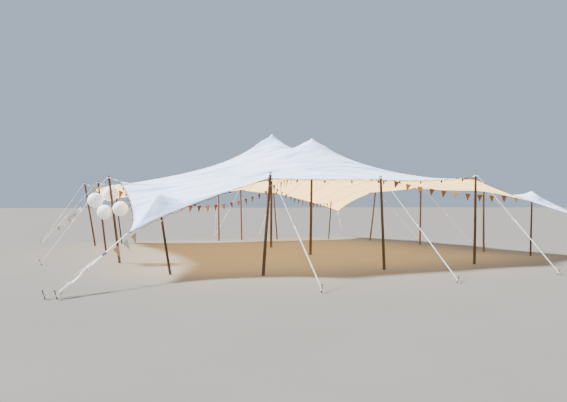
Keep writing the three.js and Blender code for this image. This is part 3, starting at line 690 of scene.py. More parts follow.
def layered(rows, columns, split=False):
    """Faces of a sheet with two layers of rows by columns points: near layer, far layer, rim."""
    layer = rows * columns
    place = np.arange(layer).reshape(rows, columns)
    corners = place[:-1, :-1], place[:-1, 1:], place[1:, 1:], place[1:, :-1]
    near = np.stack([grid.ravel() for grid in corners], 1)
    loop = np.concatenate([place[0, :-1], place[:-1, -1], place[-1, :0:-1], place[:0:-1, 0]])
    following = np.roll(loop, -1)
    rim = np.stack([loop + layer, following + layer, following, loop], 1)
    if split:
        near, rim = (np.concatenate([quads[:, [0, 1, 2]], quads[:, [0, 2, 3]]]) for quads in (near, rim))
    return near, near[:, ::-1] + layer, rim


def between(ends, share):
    """Value at a share of the way from the first of two ends to the second."""
    return ends[0] + (ends[1] - ends[0]) * share


def polar(angle, reach=1.0):
    """A level step of this reach, at this angle from the front."""
    return Vector((reach * math.cos(angle), reach * math.sin(angle), 0))


def heading(start, end):
    return math.atan2(end[1] - start[1], end[0] - start[0])


def ring_at(centre, radius, sides, bumps=None):
    """A level ring, counter-clockwise from above."""
    swells = [0.0] * sides if bumps is None else bumps
    return [centre + polar(TURN * s / sides, radius * (1 + swell)) for s, swell in enumerate(swells)]


def axis_point(foot, top, height):
    """Point at a height on a leaning axis, in plan coordinates."""
    share = height / top[2]
    return Vector((between((foot[0], top[0]), share), between((foot[1], top[1]), share), height))


def along(path, up=UP):
    """Way, side and face directions at each point of a path. The side stays as level as it can."""
    frames = []
    for k in range(len(path)):
        way = (path[min(k + 1, len(path) - 1)] - path[max(k - 1, 0)]).normalized()
        side = up.cross(way)
        if side.length < 1e-6:
            side = ACROSS.cross(way)
        side.normalize()
        frames.append((way, side, way.cross(side)))
    return frames


def swept(path, section, up=UP):
    """Rings of a section carried along a path. The section is counter-clockwise, in side and face."""
    return [
        [point + side * x + face * y for x, y in section]
        for point, (way, side, face) in zip(path, along(path, up))
    ]


def round_section(radius, sides):
    """A round bar's section, counter-clockwise."""
    angles = [TURN * s / sides for s in range(sides)]
    return [(radius * math.cos(angle), radius * math.sin(angle)) for angle in angles]


def flat_section(width, thick, corner=None):
    """A band's section with softened edges."""
    c = thick * 0.3 if corner is None else corner
    w, t = width / 2, thick / 2
    half = [(w, -t + c), (w, t - c), (w - c, t), (-w + c, t)]
    return half + [(-x, -y) for x, y in half]


def straight(start, end, steps):
    return [start.lerp(end, k / steps) for k in range(steps + 1)]


# Geometry Nodes trees

class Shaper(Group):
    """A tree that takes one shape and gives another, with named inputs."""

    def __init__(self, name, inputs):
        super().__init__(name, {"Shape": SHAPE, **inputs}, {"Shape": SHAPE}, "GeometryNodeTree")

    def path(self):
        return self.add("GeometryNodeMeshToCurve", {0: self["Shape"]})

    def marks(self, length):
        """The path with a knot at each such length."""
        return self.add("GeometryNodeResampleCurve", {"Curve": self.path(), "Length": length}, mode="LENGTH")

    def chance(self, later, low, high, kind="FLOAT"):
        """A number drawn between two for each point, from the seed and so much later."""
        seed = self.maths("ADD", self["Seed"], later) if later else self["Seed"]
        return self.add("FunctionNodeRandomValue", {"Min": low, "Max": high, "Seed": seed}, data_type=kind)

    def coated(self, shape, finish="Finish"):
        return self.add("GeometryNodeSetMaterial", {"Geometry": shape, "Material": self[finish]})

    def real(self, shape, smooth=True):
        """Instances made into one plain shape."""
        real = self.add("GeometryNodeRealizeInstances", {0: shape})
        return self.add("GeometryNodeSetShadeSmooth", {"Geometry": real, "Shade Smooth": smooth})


def grown(name, points, edges, shaper, values):
    """A plain mesh that a tree makes from points and edges."""
    base = bpy.data.meshes.new(name + "_path")
    base.from_pydata([tuple(p) for p in points], edges, [])
    source = in_scene(name + "_path", base)
    modifier = source.modifiers.new("shape", "NODES")
    modifier.node_group = shaper.tree
    for item in shaper.tree.interface.items_tree:
        if item.in_out == "INPUT" and item.name in values:
            modifier[item.identifier] = values[item.name]
    bpy.context.view_layer.update()
    evaluated = source.evaluated_get(bpy.context.evaluated_depsgraph_get())
    mesh = bpy.data.meshes.new_from_object(evaluated)
    mesh.name = name
    bpy.data.objects.remove(source)
    return in_scene(name, mesh)


def polylines(paths):
    """Points and edges of several paths."""
    points, edges = [], []
    for path in paths:
        start = len(points)
        points.extend(path)
        edges.extend((k, k + 1) for k in range(start, len(points) - 1))
    return points, edges


def rope_tree():
    """Three strands laid round each other along a path."""
    rope = Shaper("laid_rope", {"Radius": FLOAT, "Lay": FLOAT, "Step": FLOAT, "Finish": COAT})
    fine = rope.marks(rope["Step"])
    place = rope.add("GeometryNodeSplineParameter").outputs["Length"]
    tilt = rope.times(rope.maths("DIVIDE", place, rope["Lay"]), TURN)
    twist = rope.add("GeometryNodeSetCurveTilt", {"Curve": fine, "Tilt": tilt})
    strands = rope.add("GeometryNodeCurveStar", {
        "Points": 3,
        "Inner Radius": rope.times(rope["Radius"], 0.62),
        "Outer Radius": rope.times(rope["Radius"], 1.08),
    })
    soft = rope.add("GeometryNodeCurveSplineType", {"Curve": strands}, spline_type="CATMULL_ROM")
    section = rope.add("GeometryNodeResampleCurve", {"Curve": soft, "Count": 9}, mode="COUNT")
    body = rope.add("GeometryNodeCurveToMesh", {"Curve": twist, "Profile Curve": section, "Fill Caps": True})
    return rope.give(Shape=rope.coated(rope.real(body)))


def stitch_tree():
    """Short stitches set end to end along a path."""
    row = Shaper("stitch_row", {"Pitch": FLOAT, "Stitch": FLOAT, "Thread": FLOAT, "Finish": COAT})
    size = row.add("ShaderNodeCombineXYZ", {0: row["Thread"], 1: row["Thread"], 2: row["Stitch"]})
    tangent = row.add("GeometryNodeInputTangent")
    stitches = row.add("GeometryNodeInstanceOnPoints", {
        "Points": row.marks(row["Pitch"]),
        "Instance": row.add("GeometryNodeMeshCube", {"Size": size}),
        "Rotation": row.add("FunctionNodeAlignRotationToVector", {"Vector": tangent}, axis="Z"),
    })
    return row.give(Shape=row.coated(row.real(stitches, smooth=False)))


def lamp_tree():
    """A lamp hung at each point: a rubber holder and a bulb under it."""
    row = Shaper("lamp_row", {
        "Holder Radius": FLOAT, "Bulb Radius": FLOAT, "Drop": FLOAT, "Seed": WHOLE,
        "Finish": COAT, "Bulb Finish": COAT,
    })
    holder = row.add("GeometryNodeMeshCone", {
        "Vertices": 12, "Depth": 0.072, "Radius Bottom": row["Holder Radius"],
        "Radius Top": row.times(row["Holder Radius"], 0.55),
    })
    bulb = row.add("GeometryNodeMeshUVSphere", {"Segments": 12, "Rings": 8, "Radius": row["Bulb Radius"]})
    lamp = row.add("GeometryNodeJoinGeometry")
    for part, lower, finish in ((bulb, 0.016, "Bulb Finish"), (holder, 0.0, "Finish")):
        offset = row.add("ShaderNodeCombineXYZ", {2: row.maths("SUBTRACT", -lower, row["Drop"])})
        hung = row.add("GeometryNodeTransform", {"Geometry": part, "Translation": offset})
        row.feed(lamp, {0: row.coated(hung, finish)})
    lamps = row.add("GeometryNodeInstanceOnPoints", {
        "Points": row.add("GeometryNodeMeshToPoints", {"Mesh": row["Shape"]}),
        "Instance": lamp,
        "Rotation": row.chance(0, (-0.14, -0.14, 0.0), (0.14, 0.14, ANY_TURN), "FLOAT_VECTOR"),
    })
    return row.give(Shape=row.real(lamps))


def pennant_tree():
    """A flag hung at each knot of a line, turned along it, each swung and toned by chance."""
    row = Shaper("pennant_row", {
        "Flag": OBJECT, "Swing": FLOAT, "Turn": FLOAT, "Seed": WHOLE, "Finish": COAT,
    })
    toned = row.add("GeometryNodeStoreNamedAttribute", {
        "Geometry": row.path(), "Name": "flag_tone", "Value": row.chance(0, 0.0, 1.0),
    }, data_type="FLOAT", domain="POINT")
    swing = row.chance(7.0, row.times(row["Swing"], -1.0), row["Swing"])
    turn = row.chance(19.0, row.times(row["Turn"], -1.0), row["Turn"])
    upright = row.add("FunctionNodeAxesToRotation", {
        "Primary Axis": row.add("GeometryNodeInputTangent"), "Secondary Axis": (0, 0, 1),
    }, primary_axis="X", secondary_axis="Z")
    swung = row.add("FunctionNodeRotateRotation", {
        "Rotation": upright, "Rotate By": row.add("ShaderNodeCombineXYZ", {0: swing, 2: turn}),
    }, rotation_space="LOCAL")
    flags = row.add("GeometryNodeInstanceOnPoints", {
        "Points": toned,
        "Instance": row.add("GeometryNodeObjectInfo", {"Object": row["Flag"]}).outputs["Geometry"],
        "Rotation": swung,
    })
    return row.give(Shape=row.coated(row.real(flags)))


ROPE_TREE = rope_tree()
STITCH_TREE = stitch_tree()
LAMP_TREE = lamp_tree()
PENNANT_TREE = pennant_tree()


# Canopy form: a net of stretched threads between the hem and the pole heads

def hem_line(refine):
    """Hem points by grid place (row, column), on a net with refine knots to a cell."""
    held = {}
    for axis, edge, inward, names, curves in HEM_SIDES:
        marks = [(0, CORNERS[names[0]])]
        marks += [(EDGE_POLES[name][3][axis], EDGE_POLES[name][2]) for name in names[1:-1]]
        marks += [(CELLS, CORNERS[names[-1]])]
        for (first, start), (last, end), (depth, rise) in zip(marks, marks[1:], curves):
            ends = np.array(start, float), np.array(end, float)
            inset = np.array([inward[0] * depth, inward[1] * depth, rise])
            count = (last - first) * refine
            for k in range(count + 1):
                share = k / count
                place = (edge * refine, first * refine + k)
                point = between(ends, share) + 4 * share * (1 - share) * inset
                held[place if axis == 0 else place[::-1]] = point
    return held


def relax(values, fixed, across, back):
    """Knots that aren't fixed settle at the weighted mean of their neighbours."""
    def pull(x):
        out = np.zeros_like(x)
        step = across * (x[:, 1:] - x[:, :-1])
        out[:, 1:] += step
        out[:, :-1] -= step
        step = back * (x[1:] - x[:-1])
        out[1:] += step
        out[:-1] -= step
        out[fixed] = 0
        return out

    residual = -pull(values)
    direction = residual.copy()
    power = (residual ** 2).sum()
    for _ in range(SETTLE_STEPS):
        if power < SETTLED:
            break
        image = pull(direction)
        step = power / (image * direction).sum()
        values = values + step * direction
        residual = residual - step * image
        fresh = (residual ** 2).sum()
        direction = residual + (fresh / power) * direction
        power = fresh
    return values


def nearest(x, y, point):
    """Place of the knot that is nearest to a point in plan."""
    return np.unravel_index(np.argmin(np.hypot(x - point[0], y - point[1])), x.shape)


def canopy_net():
    """The net's knots at rest, as three grids of x, y and z."""
    size = CELLS + 1
    held = hem_line(1)

    def settle(axis, across, back):
        start = np.zeros((size, size))
        fixed = np.zeros((size, size), bool)
        for place, point in held.items():
            start[place] = point[axis]
            fixed[place] = True
        return relax(start, fixed, across, back)

    even = (np.ones((size, size - 1)), np.ones((size - 1, size)))
    x, y = settle(0, *even), settle(1, *even)
    for _, peak, _, _ in INNER_POLES.values():
        held[nearest(x, y, peak)] = peak
    x, y = settle(0, *even), settle(1, *even)
    rear, front = (np.array(INNER_POLES[name][1][:2]) for name in ("king_pole_rear", "king_pole_front"))
    span = front - rear

    def weights(mx, my):
        share = np.clip(((mx - rear[0]) * span[0] + (my - rear[1]) * span[1]) / (span @ span), 0, 1)
        away = np.hypot(mx - rear[0] - share * span[0], my - rear[1] - share * span[1])
        out = 1 + RIDGE_PULL * np.exp(-((away / RIDGE_WIDTH) ** 2))
        for _, peak, _, (strength, reach) in INNER_POLES.values():
            out += strength * np.exp(-np.hypot(mx - peak[0], my - peak[1]) / reach)
        return out

    across = weights((x[:, 1:] + x[:, :-1]) / 2, (y[:, 1:] + y[:, :-1]) / 2)
    back = weights((x[1:] + x[:-1]) / 2, (y[1:] + y[:-1]) / 2)
    return x, y, settle(2, across, back)


def finer():
    """Matrix of smooth weights from the net's knots to the finer net along one way."""
    out = np.zeros((LAST + 1, CELLS + 3))
    for f in range(LAST + 1):
        cell = min(f // FINE, CELLS - 1)
        t = f / FINE - cell
        out[f, cell:cell + 4] = SMOOTH @ (1, t, t ** 2, t ** 3) / 2
    for end, first, second in ((0, 1, 2), (-1, -2, -3)):
        out[:, first] += 2 * out[:, end]
        out[:, second] -= out[:, end]
    return out[:, 1:-1]


def peak_cusps(x, y, heights):
    """Height that the pointed peaks over the pole heads add to a smooth surface."""
    out = np.zeros_like(x)
    for (name, (_, peak, _, _)), height in zip(INNER_POLES.items(), heights):
        away = np.sqrt((x - peak[0]) ** 2 + (y - peak[1]) ** 2 + CUSP_TIP ** 2)
        out += height * np.exp(-away / CUSP_WIDTH.get(name, PROP_CUSP_WIDTH))
    return out


def canopy_grid():
    """Middle of the cloth on the fine net, (row, column, xyz)."""
    x, y, z = canopy_net()
    heights = []
    for name, (_, peak, _, _) in INNER_POLES.items():
        j, i = nearest(x, y, peak)
        around = (z[j - 1, i] + z[j + 1, i] + z[j, i - 1] + z[j, i + 1]) / 4
        heights.append((CUSP_SHARE if name in CUSP_WIDTH else PROP_CUSP_SHARE) * (z[j, i] - around))
    grow = finer()
    smooth = z - peak_cusps(x, y, heights)
    fine = np.stack([grow @ grid @ grow.T for grid in (x, y, smooth)], -1)
    fine[..., 2] += peak_cusps(fine[..., 0], fine[..., 1], heights)
    gaps = np.zeros_like(fine)
    for place, point in hem_line(FINE).items():
        gaps[place] = point - fine[place]
    fade = np.clip(1 - np.arange(LAST + 1) / (HEM_FADE * FINE), 0, 1) ** 2
    rows, columns = fade[:, None, None], fade[None, :, None]
    add = rows * gaps[:1] + rows[::-1] * gaps[-1:]
    add += columns * gaps[:, :1] + columns[:, ::-1] * gaps[:, -1:]
    for edge in (0, -1):
        add[edge] = gaps[edge]
        add[:, edge] = gaps[:, edge]
    return fine + add


def grid_normals(grid):
    normal = np.cross(np.gradient(grid, axis=1), np.gradient(grid, axis=0))
    return normal / np.linalg.norm(normal, axis=2, keepdims=True)


def tensioned(grid):
    """The cloth with its creases: a fold from each corner prop out to the corner, and
    shallow wrinkles that fan from each point where the cloth is held."""
    x, y = grid[..., 0], grid[..., 1]
    lift = np.zeros_like(x)
    for name, tip in CORNERS.items():
        peak = np.array(INNER_POLES["corner_prop_" + name][1])
        way = np.array(tip)[:2] - peak[:2]
        share = ((x - peak[0]) * way[0] + (y - peak[1]) * way[1]) / (way @ way)
        off = np.abs((x - peak[0]) * way[1] - (y - peak[1]) * way[0]) / np.linalg.norm(way)
        strength = np.clip(share * 5, 0, 1) * np.clip((1 - share) * 1.6, 0, 1)
        rise, width = CORNER_FOLD.get(name, PLAIN_FOLD)
        lift += rise * strength * np.exp(-off / width)
    held = [pole[2] for pole in EDGE_POLES.values()]
    held += [*CORNERS.values()] + [pole[1] for pole in INNER_POLES.values()]
    chance = random.Random(11)
    for mark in held:
        away = np.hypot(x - mark[0], y - mark[1])
        angle = np.arctan2(y - mark[1], x - mark[0])
        swell = np.clip(away / WRINKLE_START, 0, 1) ** 1.5 * np.exp(-away / WRINKLE_REACH)
        folds = sum(
            math.cos(chance.random()) * np.cos(count * angle + chance.random() * ANY_TURN)
            for count in (7, 11, 16)
        )
        lift += WRINKLE * swell * folds
    steps = np.arange(LAST + 1)
    inset = np.minimum(steps, LAST - steps)
    out = grid.copy()
    out[..., 2] += lift * np.clip(np.minimum.outer(inset, inset) / 4, 0, 1)
    return out


GRID = tensioned(canopy_grid())
NORMAL = grid_normals(GRID)
CLOTH = GRID + np.array(SHIFT) - NORMAL * CLOTH_DROP


def on_cloth(row, column, lift=0.0):
    """Point on the cloth's middle at a place counted in fine steps, moved out by lift."""
    row, column = min(max(row, 0), LAST), min(max(column, 0), LAST)
    j, i = min(int(row), LAST - 1), min(int(column), LAST - 1)

    def sample(grid):
        low, high = (between((line[i], line[i + 1]), column - i) for line in (grid[j], grid[j + 1]))
        return between((low, high), row - j)

    normal = sample(NORMAL)
    return Vector(sample(CLOTH) + normal / np.linalg.norm(normal) * lift)


def canopy_piece():
    """The cloth, with its outside, its inside and its rim as three finishes."""
    top, bottom = ((CLOTH + NORMAL * side * CLOTH_HALF).reshape(-1, 3) for side in (1, -1))
    parts = layered(LAST + 1, LAST + 1, split=True)
    faces = np.concatenate(parts)
    picks = [pick for pick, part in enumerate(parts) for _ in part]
    row, column = np.divmod(faces % len(top), LAST + 1)
    uvs = np.stack([column / LAST * CLOTH_SIZE[0], row / LAST * CLOTH_SIZE[1]], -1)
    points = np.concatenate([top, bottom])
    return mesh_object("canopy_cloth", points, faces, [OUTER, INNER, HEM], picks, True, uvs)


def hem_ring():
    """Places (row, column, way in) round the whole hem, counter-clockwise from above."""
    steps = range(LAST)
    out = [(0, i, (1, 0)) for i in steps] + [(j, LAST, (0, -1)) for j in steps]
    return out + [(LAST, LAST - i, (-1, 0)) for i in steps] + [(LAST - j, 0, (0, 1)) for j in steps]


def hem_piece():
    """Doubled tape folded over the cloth's edge all the way round."""
    build = Build()
    width, top = 0.048, CLOTH_HALF + 0.0035
    upper = [(-0.003, 0.004), (0.004, top), (width * 0.5, top), (width, CLOTH_HALF + 0.0005)]
    section = [(-0.003, -0.004)] + upper + [(x, -y) for x, y in upper[:0:-1]]
    rings = []
    for row, column, inward in hem_ring():
        edge = on_cloth(row, column)
        way = (on_cloth(row + inward[0], column + inward[1]) - edge).normalized()
        normal = Vector(NORMAL[row, column])
        rings.append([edge + way * x + normal * y for x, y in section])
    build.rings(rings, metres=(0.096, 0.1 * (len(rings) - 1)), closed=True)
    # The tape's edge and underside take the dark finish, which paints the rolled edge's shade
    build.picks = [1 if face % 8 in (0, 5, 6, 7) else 0 for face in range(len(build.faces))]
    return build.piece("canopy_hem", HEM, HEM_SHADE)


def seam_piece(name, side, finish):
    """Lapped seams from front to rear, where the cloth's panels are sewn together."""
    build = Build()
    section = [(0.014, -0.001), (0.010, 0.0028), (-0.010, 0.0028), (-0.014, -0.001)][::-side]
    for column in range(3 * FINE, LAST, 3 * FINE):
        rings = []
        for row in range(1, LAST):
            middle = on_cloth(row, column, side * CLOTH_HALF)
            right = (on_cloth(row, column + 1) - on_cloth(row, column - 1)).normalized()
            normal = Vector(NORMAL[row, column]) * side
            rings.append([middle + right * x + normal * y for x, y in section])
        build.rings(rings, metres=(0.06, 18.0))
    return build.piece(name, finish)


def patch_piece(name, side, finish):
    """Doubled triangular patches, sewn on where the hem is held."""
    build = Build()
    steps, across = 8, 9
    for *_, (cell_x, cell_y) in EDGE_POLES.values():
        row, column = cell_y * FINE, cell_x * FINE
        if row in (0, LAST):
            inward, sideways = (1 if row == 0 else -1, 0), (0, 1)
        else:
            inward, sideways = (0, 1 if column == 0 else -1), (1, 0)
        top, base = [], []
        for b in range(steps + 1):
            depth = between(PATCH_DEPTH, b / steps)
            reach = PATCH_REACH * (1 - b / steps) ** 0.75 + 0.05
            for a in range(-4, 5):
                r = row + inward[0] * depth + sideways[0] * reach * a / 4
                c = column + inward[1] * depth + sideways[1] * reach * a / 4
                rim = abs(a) == 4 or b in (0, steps)
                top.append(on_cloth(r, c, side * (CLOTH_HALF + (0.0006 if rim else 0.0034))))
                base.append(on_cloth(r, c, side * (CLOTH_HALF - 0.0012)))
        faces = np.concatenate(layered(steps + 1, across))
        facing = (top[1] - top[0]).cross(top[across] - top[0])
        if facing.dot(Vector(NORMAL[row, column])) * side < 0:
            faces = faces[:, ::-1]
        uv = [(0.04 * (k % across), 0.06 * (k // across)) for k in range(len(top))] * 2
        build.add(top + base, faces.tolist(), 0, uv)
    return build.piece(name, finish)


cloth = canopy_piece()
hem = hem_piece()
seams_over = seam_piece("canopy_seams_outside", 1, SEAM)
seams_under = seam_piece("canopy_seams_inside", -1, SEAM_INNER)
patches_over = patch_piece("canopy_patches_outside", 1, SEAM)
patches_under = patch_piece("canopy_patches_inside", -1, SEAM_INNER)

stitch_paths = []
for side in (1, -1):
    for inset in (0.18, 0.42):
        path = [
            on_cloth(row + inward[0] * inset, column + inward[1] * inset, side * (CLOTH_HALF + 0.004))
            for row, column, inward in hem_ring()
        ]
        stitch_paths.append(path + [path[0]])
stitches = grown("canopy_hem_stitches", *polylines(stitch_paths), STITCH_TREE, {
    "Pitch": 0.045, "Stitch": 0.026, "Thread": 0.0035, "Finish": THREAD,
})
placed(cloth, "canvas", "canopy")
for piece in (hem, seams_over, seams_under, patches_over, patches_under, stitches):
    placed(piece, "canvas")


# Timber

def timber_pole(name, foot, top, radii, head, node, finish=TIMBER, sides=28):
    """Round pole cut from one stem: a slight bow, uneven girth and knots, and a cut top."""
    chance = random.Random(name)
    bow_way = chance.random() * ANY_TURN
    bow = 0.006 + 0.006 * chance.random()
    knots = [
        (chance.random() * ANY_TURN, chance.uniform(0.1, 0.92) * top[2], chance.uniform(0.03, 0.06))
        for _ in range(int(top[2] * KNOTS_PER_METRE))
    ]
    phases = [chance.random() * ANY_TURN for _ in range(3)]
    neck = head[0][1]
    levels = (top[2] * k / POLE_LEVELS for k in range(1, POLE_LEVELS))
    heights = [0.0, 0.012] + [height for height in levels if height < neck - 0.01]
    profile = [(between(radii, h / top[2]) * (0.93 if h == 0 else 1.0), h) for h in heights] + head
    rings = []
    for radius, height in profile:
        sway = bow * math.sin(math.pi * min(height / top[2], 1))
        bumps = []
        for s in range(sides):
            angle = TURN * s / sides
            swell = 0.012 * math.sin(2 * angle + phases[0] + height * 0.8)
            swell += 0.008 * math.sin(3 * angle + phases[1] - height * 1.7)
            swell += 0.009 * math.sin(height * 3.1 + phases[2])
            for where, level, size in knots:
                turn = abs((angle - where + math.pi) % TURN - math.pi) * radius
                gap = (turn ** 2 + (height - level) ** 2) / size ** 2
                swell += 0.075 * math.exp(-gap * 4)
            bumps.append(swell if height < neck else swell * 0.3)
        centre = axis_point(foot, top, height) + polar(bow_way, sway)
        rings.append(ring_at(at(centre), radius, sides, bumps))
    build = Build()
    build.rings(rings, cap_pick=1, metres=(0.32, top[2]))
    placed(build.piece(name, finish, END_GRAIN), "timber", node)


def cloth_height(peak, dome):
    """Height at which a pole's rounded head just meets the cloth over it."""
    row, column = nearest(GRID[..., 0], GRID[..., 1], peak)
    middle = at(peak)
    highest = peak[2]
    for a in range(-10, 11):
        for b in range(-10, 11):
            point = on_cloth(row + a / 10, column + b / 10, -CLOTH_HALF)
            away = math.hypot(point.x - middle.x, point.y - middle.y)
            for radius, drop in dome:
                if away <= radius:
                    highest = min(highest, point.z + drop)
    return highest - HEAD_CLEARANCE


for name, (foot, top, _, _) in EDGE_POLES.items():
    head = [(POLE_RADIUS[1] * share, top[2] - drop) for share, drop in POLE_HEAD]
    timber_pole(name + "_timber", foot, top, POLE_RADIUS, head, name + "_pole")
# The poles under the canopy take the darker timber, with painted shade
for name, (foot, peak, radii, _) in INNER_POLES.items():
    dome = [(radii[1] * share, drop) for share, drop in HEAD_DOME]
    height = cloth_height(peak, dome)
    head = [(radius, height - drop) for radius, drop in dome]
    timber_pole(name + "_timber", foot, (*peak[:2], height), radii, head, name, SHADED_TIMBER, 32)


# Stakes

def stake_axis(name):
    """Foot and top of a stake that leans away from the tent's middle."""
    x, y = STAKES[name]
    away = Vector((x - MIDDLE[0], y - MIDDLE[1])).normalized() * STAKE_LEAN
    return (x, y), (x + away.x, y + away.y, STAKE_HEIGHT)


for name in STAKES:
    build = Build()
    build.rings([ring_at(at(axis_point(*stake_axis(name), height)), r, 20) for r, height in STAKE_PROFILE])
    placed(build.piece(f"stake_{name}_steel", STEEL), "steel", f"stake_{name}")


# Ropes

def helix(foot, top, reach, low, high, start, turns):
    """A path wound up round a leaning axis, from one angle, low to high."""
    steps = int(turns * 20)
    out = []
    for share in (k / steps for k in range(steps + 1)):
        centre = at(axis_point(foot, top, between((low, high), share)))
        out.append(centre + polar(start + turns * TURN * share, reach))
    return out


def coil(start, end, share, turns, radius):
    """Turns of rope round a straight line, at a share of the way along it."""
    way, side, face = along([start, end])[0]
    steps = turns * 12
    length = 2.15 * ROPE_RADIUS * turns
    out = []
    for k in range(steps + 1):
        angle = TURN * k / 12
        point = start.lerp(end, share) + way * (k / steps - 0.5) * length
        out.append(point + side * math.cos(angle) * radius + face * math.sin(angle) * radius)
    return out


class Guy:
    """Where an edge pole's guy rope goes round the pole and round its stake."""

    def __init__(self, name):
        self.foot, self.top, self.hem, _ = EDGE_POLES[name]
        self.height = self.top[2] - POLE_RING_DROP
        self.radius = between(POLE_RADIUS, self.height / self.top[2])
        self.stake = stake_axis(SHARED_STAKES.get(name, name))
        self.ring = STAKE_RING - (SHARED_RING_DROP if name in SHARED_STAKES else 0)
        self.pole_mark = axis_point(self.foot, self.top, self.height)
        self.stake_mark = axis_point(*self.stake, self.ring)


def guy_rope(name):
    """From an eye at the hem, round the pole's head, and down to the stake, with its knots."""
    guy = Guy(name)
    to_hem = heading(guy.pole_mark, guy.hem)
    turns = (heading(guy.pole_mark, guy.stake_mark) - to_hem) % TURN / TURN + 2
    rise = 0.021 * turns
    low, high = guy.height - rise / 2, guy.height + rise / 2
    wound = helix(guy.foot, guy.top, guy.radius + ROPE_RADIUS, low, high, to_hem, turns)
    back = heading(guy.stake_mark, guy.pole_mark)
    ground = helix(*guy.stake, STAKE_RADIUS + ROPE_RADIUS, guy.ring + 0.010, guy.ring - 0.011, back, 2.5)
    eye, start, end = at(guy.hem), wound[-1], ground[0]
    tie = [eye.lerp(wound[0], share) for share in (0.12, 0.5)]
    main = tie + wound + [start.lerp(end, share) for share in (0.25, 0.5, 0.75)] + ground
    sideways = UP.cross(end - start).normalized() * ROPE_RADIUS
    second = [start.lerp(end, 0.52 + 0.47 * k / 3) + sideways * 2.1 for k in range(4)]
    hitch = coil(start + sideways, end + sideways, 0.52, 5, 2.3 * ROPE_RADIUS)
    knot = coil(eye, wound[0], 0.5, 3, 2.0 * ROPE_RADIUS)
    piece = grown(name + "_rope", *polylines([main, second, hitch, knot]), ROPE_TREE, {
        "Radius": ROPE_RADIUS, "Lay": ROPE_LAY, "Step": 0.014, "Finish": ROPE,
    })
    placed(piece, "rope", name + "_guy_rope")


for name in EDGE_POLES:
    guy_rope(name)


# Corner straps with their tensioners

def webbing(build, start, end, width=STRAP_WIDTH, thick=STRAP_THICK, steps=24, twist=0.0):
    """A band between two points, turned by so much on its way."""
    path = straight(start, end, steps)
    section = flat_section(width, thick)
    rings = []
    for k, (point, (way, side, face)) in enumerate(zip(path, along(path))):
        across = side * math.cos(twist * k / steps) + face * math.sin(twist * k / steps)
        out = way.cross(across)
        rings.append([point + across * x + out * y for x, y in section])
    build.rings(rings, metres=(2 * width, (end - start).length))


def box_shape(build, centre, way, side, face, size, pick, corner):
    """A block with softened long edges, its length along way."""
    section = flat_section(*size[1:], corner)
    build.rings([
        [centre + way * size[0] * place + side * x * shrink + face * y * shrink for x, y in section]
        for place, shrink in ((-0.5, 0.9), (-0.47, 1.0), (0.47, 1.0), (0.5, 0.9))
    ], pick, smooth=False)


def bundle(build, middle, way, side, length, girth):
    """The strap's spare length, wound back and forth and tied in a bunch."""
    face = way.cross(side)
    chance = random.Random(5)
    section = flat_section(STRAP_WIDTH * 0.8, STRAP_THICK * 2)
    for fold in range(9):
        turn = TURN * fold * 2 / 9 + chance.uniform(-0.3, 0.3)
        depth = 0.62 if fold % 2 else 0.34
        out = side * math.cos(turn) + face * math.sin(turn)
        over = way.cross(out)
        rings = []
        for k in range(15):
            share = k / 14 - 0.5
            swell = girth * (0.38 + 0.62 * math.cos(math.pi * share) ** 0.7)
            point = middle + way * share * length * chance.uniform(0.97, 1.0) + out * swell * depth
            rings.append([point + over * x + out * y for x, y in section])
        build.rings(rings, metres=(0.08, length))
    for place in (-0.3, 0.32):
        centre = middle + way * place * length
        build.rod(centre - way * 0.012, centre + way * 0.012, girth * 0.45 + 0.014, 16)


def gathered_cloth(build, start, end, side, face):
    """Spare cloth drawn up at a corner and twisted round its strap into a rope."""
    steps, sides = 90, 30
    length = (end - start).length
    rings = []
    for k in range(steps + 1):
        share = k / steps
        radius = between(GATHERED_CLOTH, share)
        radius *= 1 + 0.10 * math.sin(share * 17.0) + 0.06 * math.sin(share * 41.0 + 1.0)
        radius *= min(1.0, 0.35 + 9 * share, 0.45 + 9 * (1 - share))
        twist = TURN * length * share / CLOTH_LAY
        centre = start.lerp(end, share)
        ring = []
        for angle in (TURN * s / sides for s in range(sides)):
            lobe = 0.62 + 0.38 * abs(math.cos(1.5 * (angle - twist)))
            reach = radius * (lobe + 0.05 * math.sin(9 * angle + 5 * share))
            ring.append(centre + side * reach * math.cos(angle) + face * reach * math.sin(angle))
        rings.append(ring)
    build.rings(rings, 3, metres=(0.5, length))


def strap_end(stake, start):
    """Where a strap that comes from a plan point meets its stake."""
    mark = axis_point(*stake_axis(stake), STAKE_RING)
    return at(mark) + polar(heading(mark, start), STAKE_RADIUS + STRAP_STANDOFF)


def stake_loop(build, stake):
    """The strap's end goes round its stake in two bands."""
    section = flat_section(0.005, 0.022)
    for level in (STAKE_RING - 0.012, STAKE_RING + 0.012):
        path = helix(*stake_axis(stake), STAKE_RADIUS + 0.003, level, level, 0, 1)
        rings = []
        for k, point in enumerate(path):
            out = polar(TURN * k / (len(path) - 1))
            rings.append([point + out * x + UP * y for x, y in section][::-1])
        build.rings(rings, caps=False, metres=(0.05, 0.2))


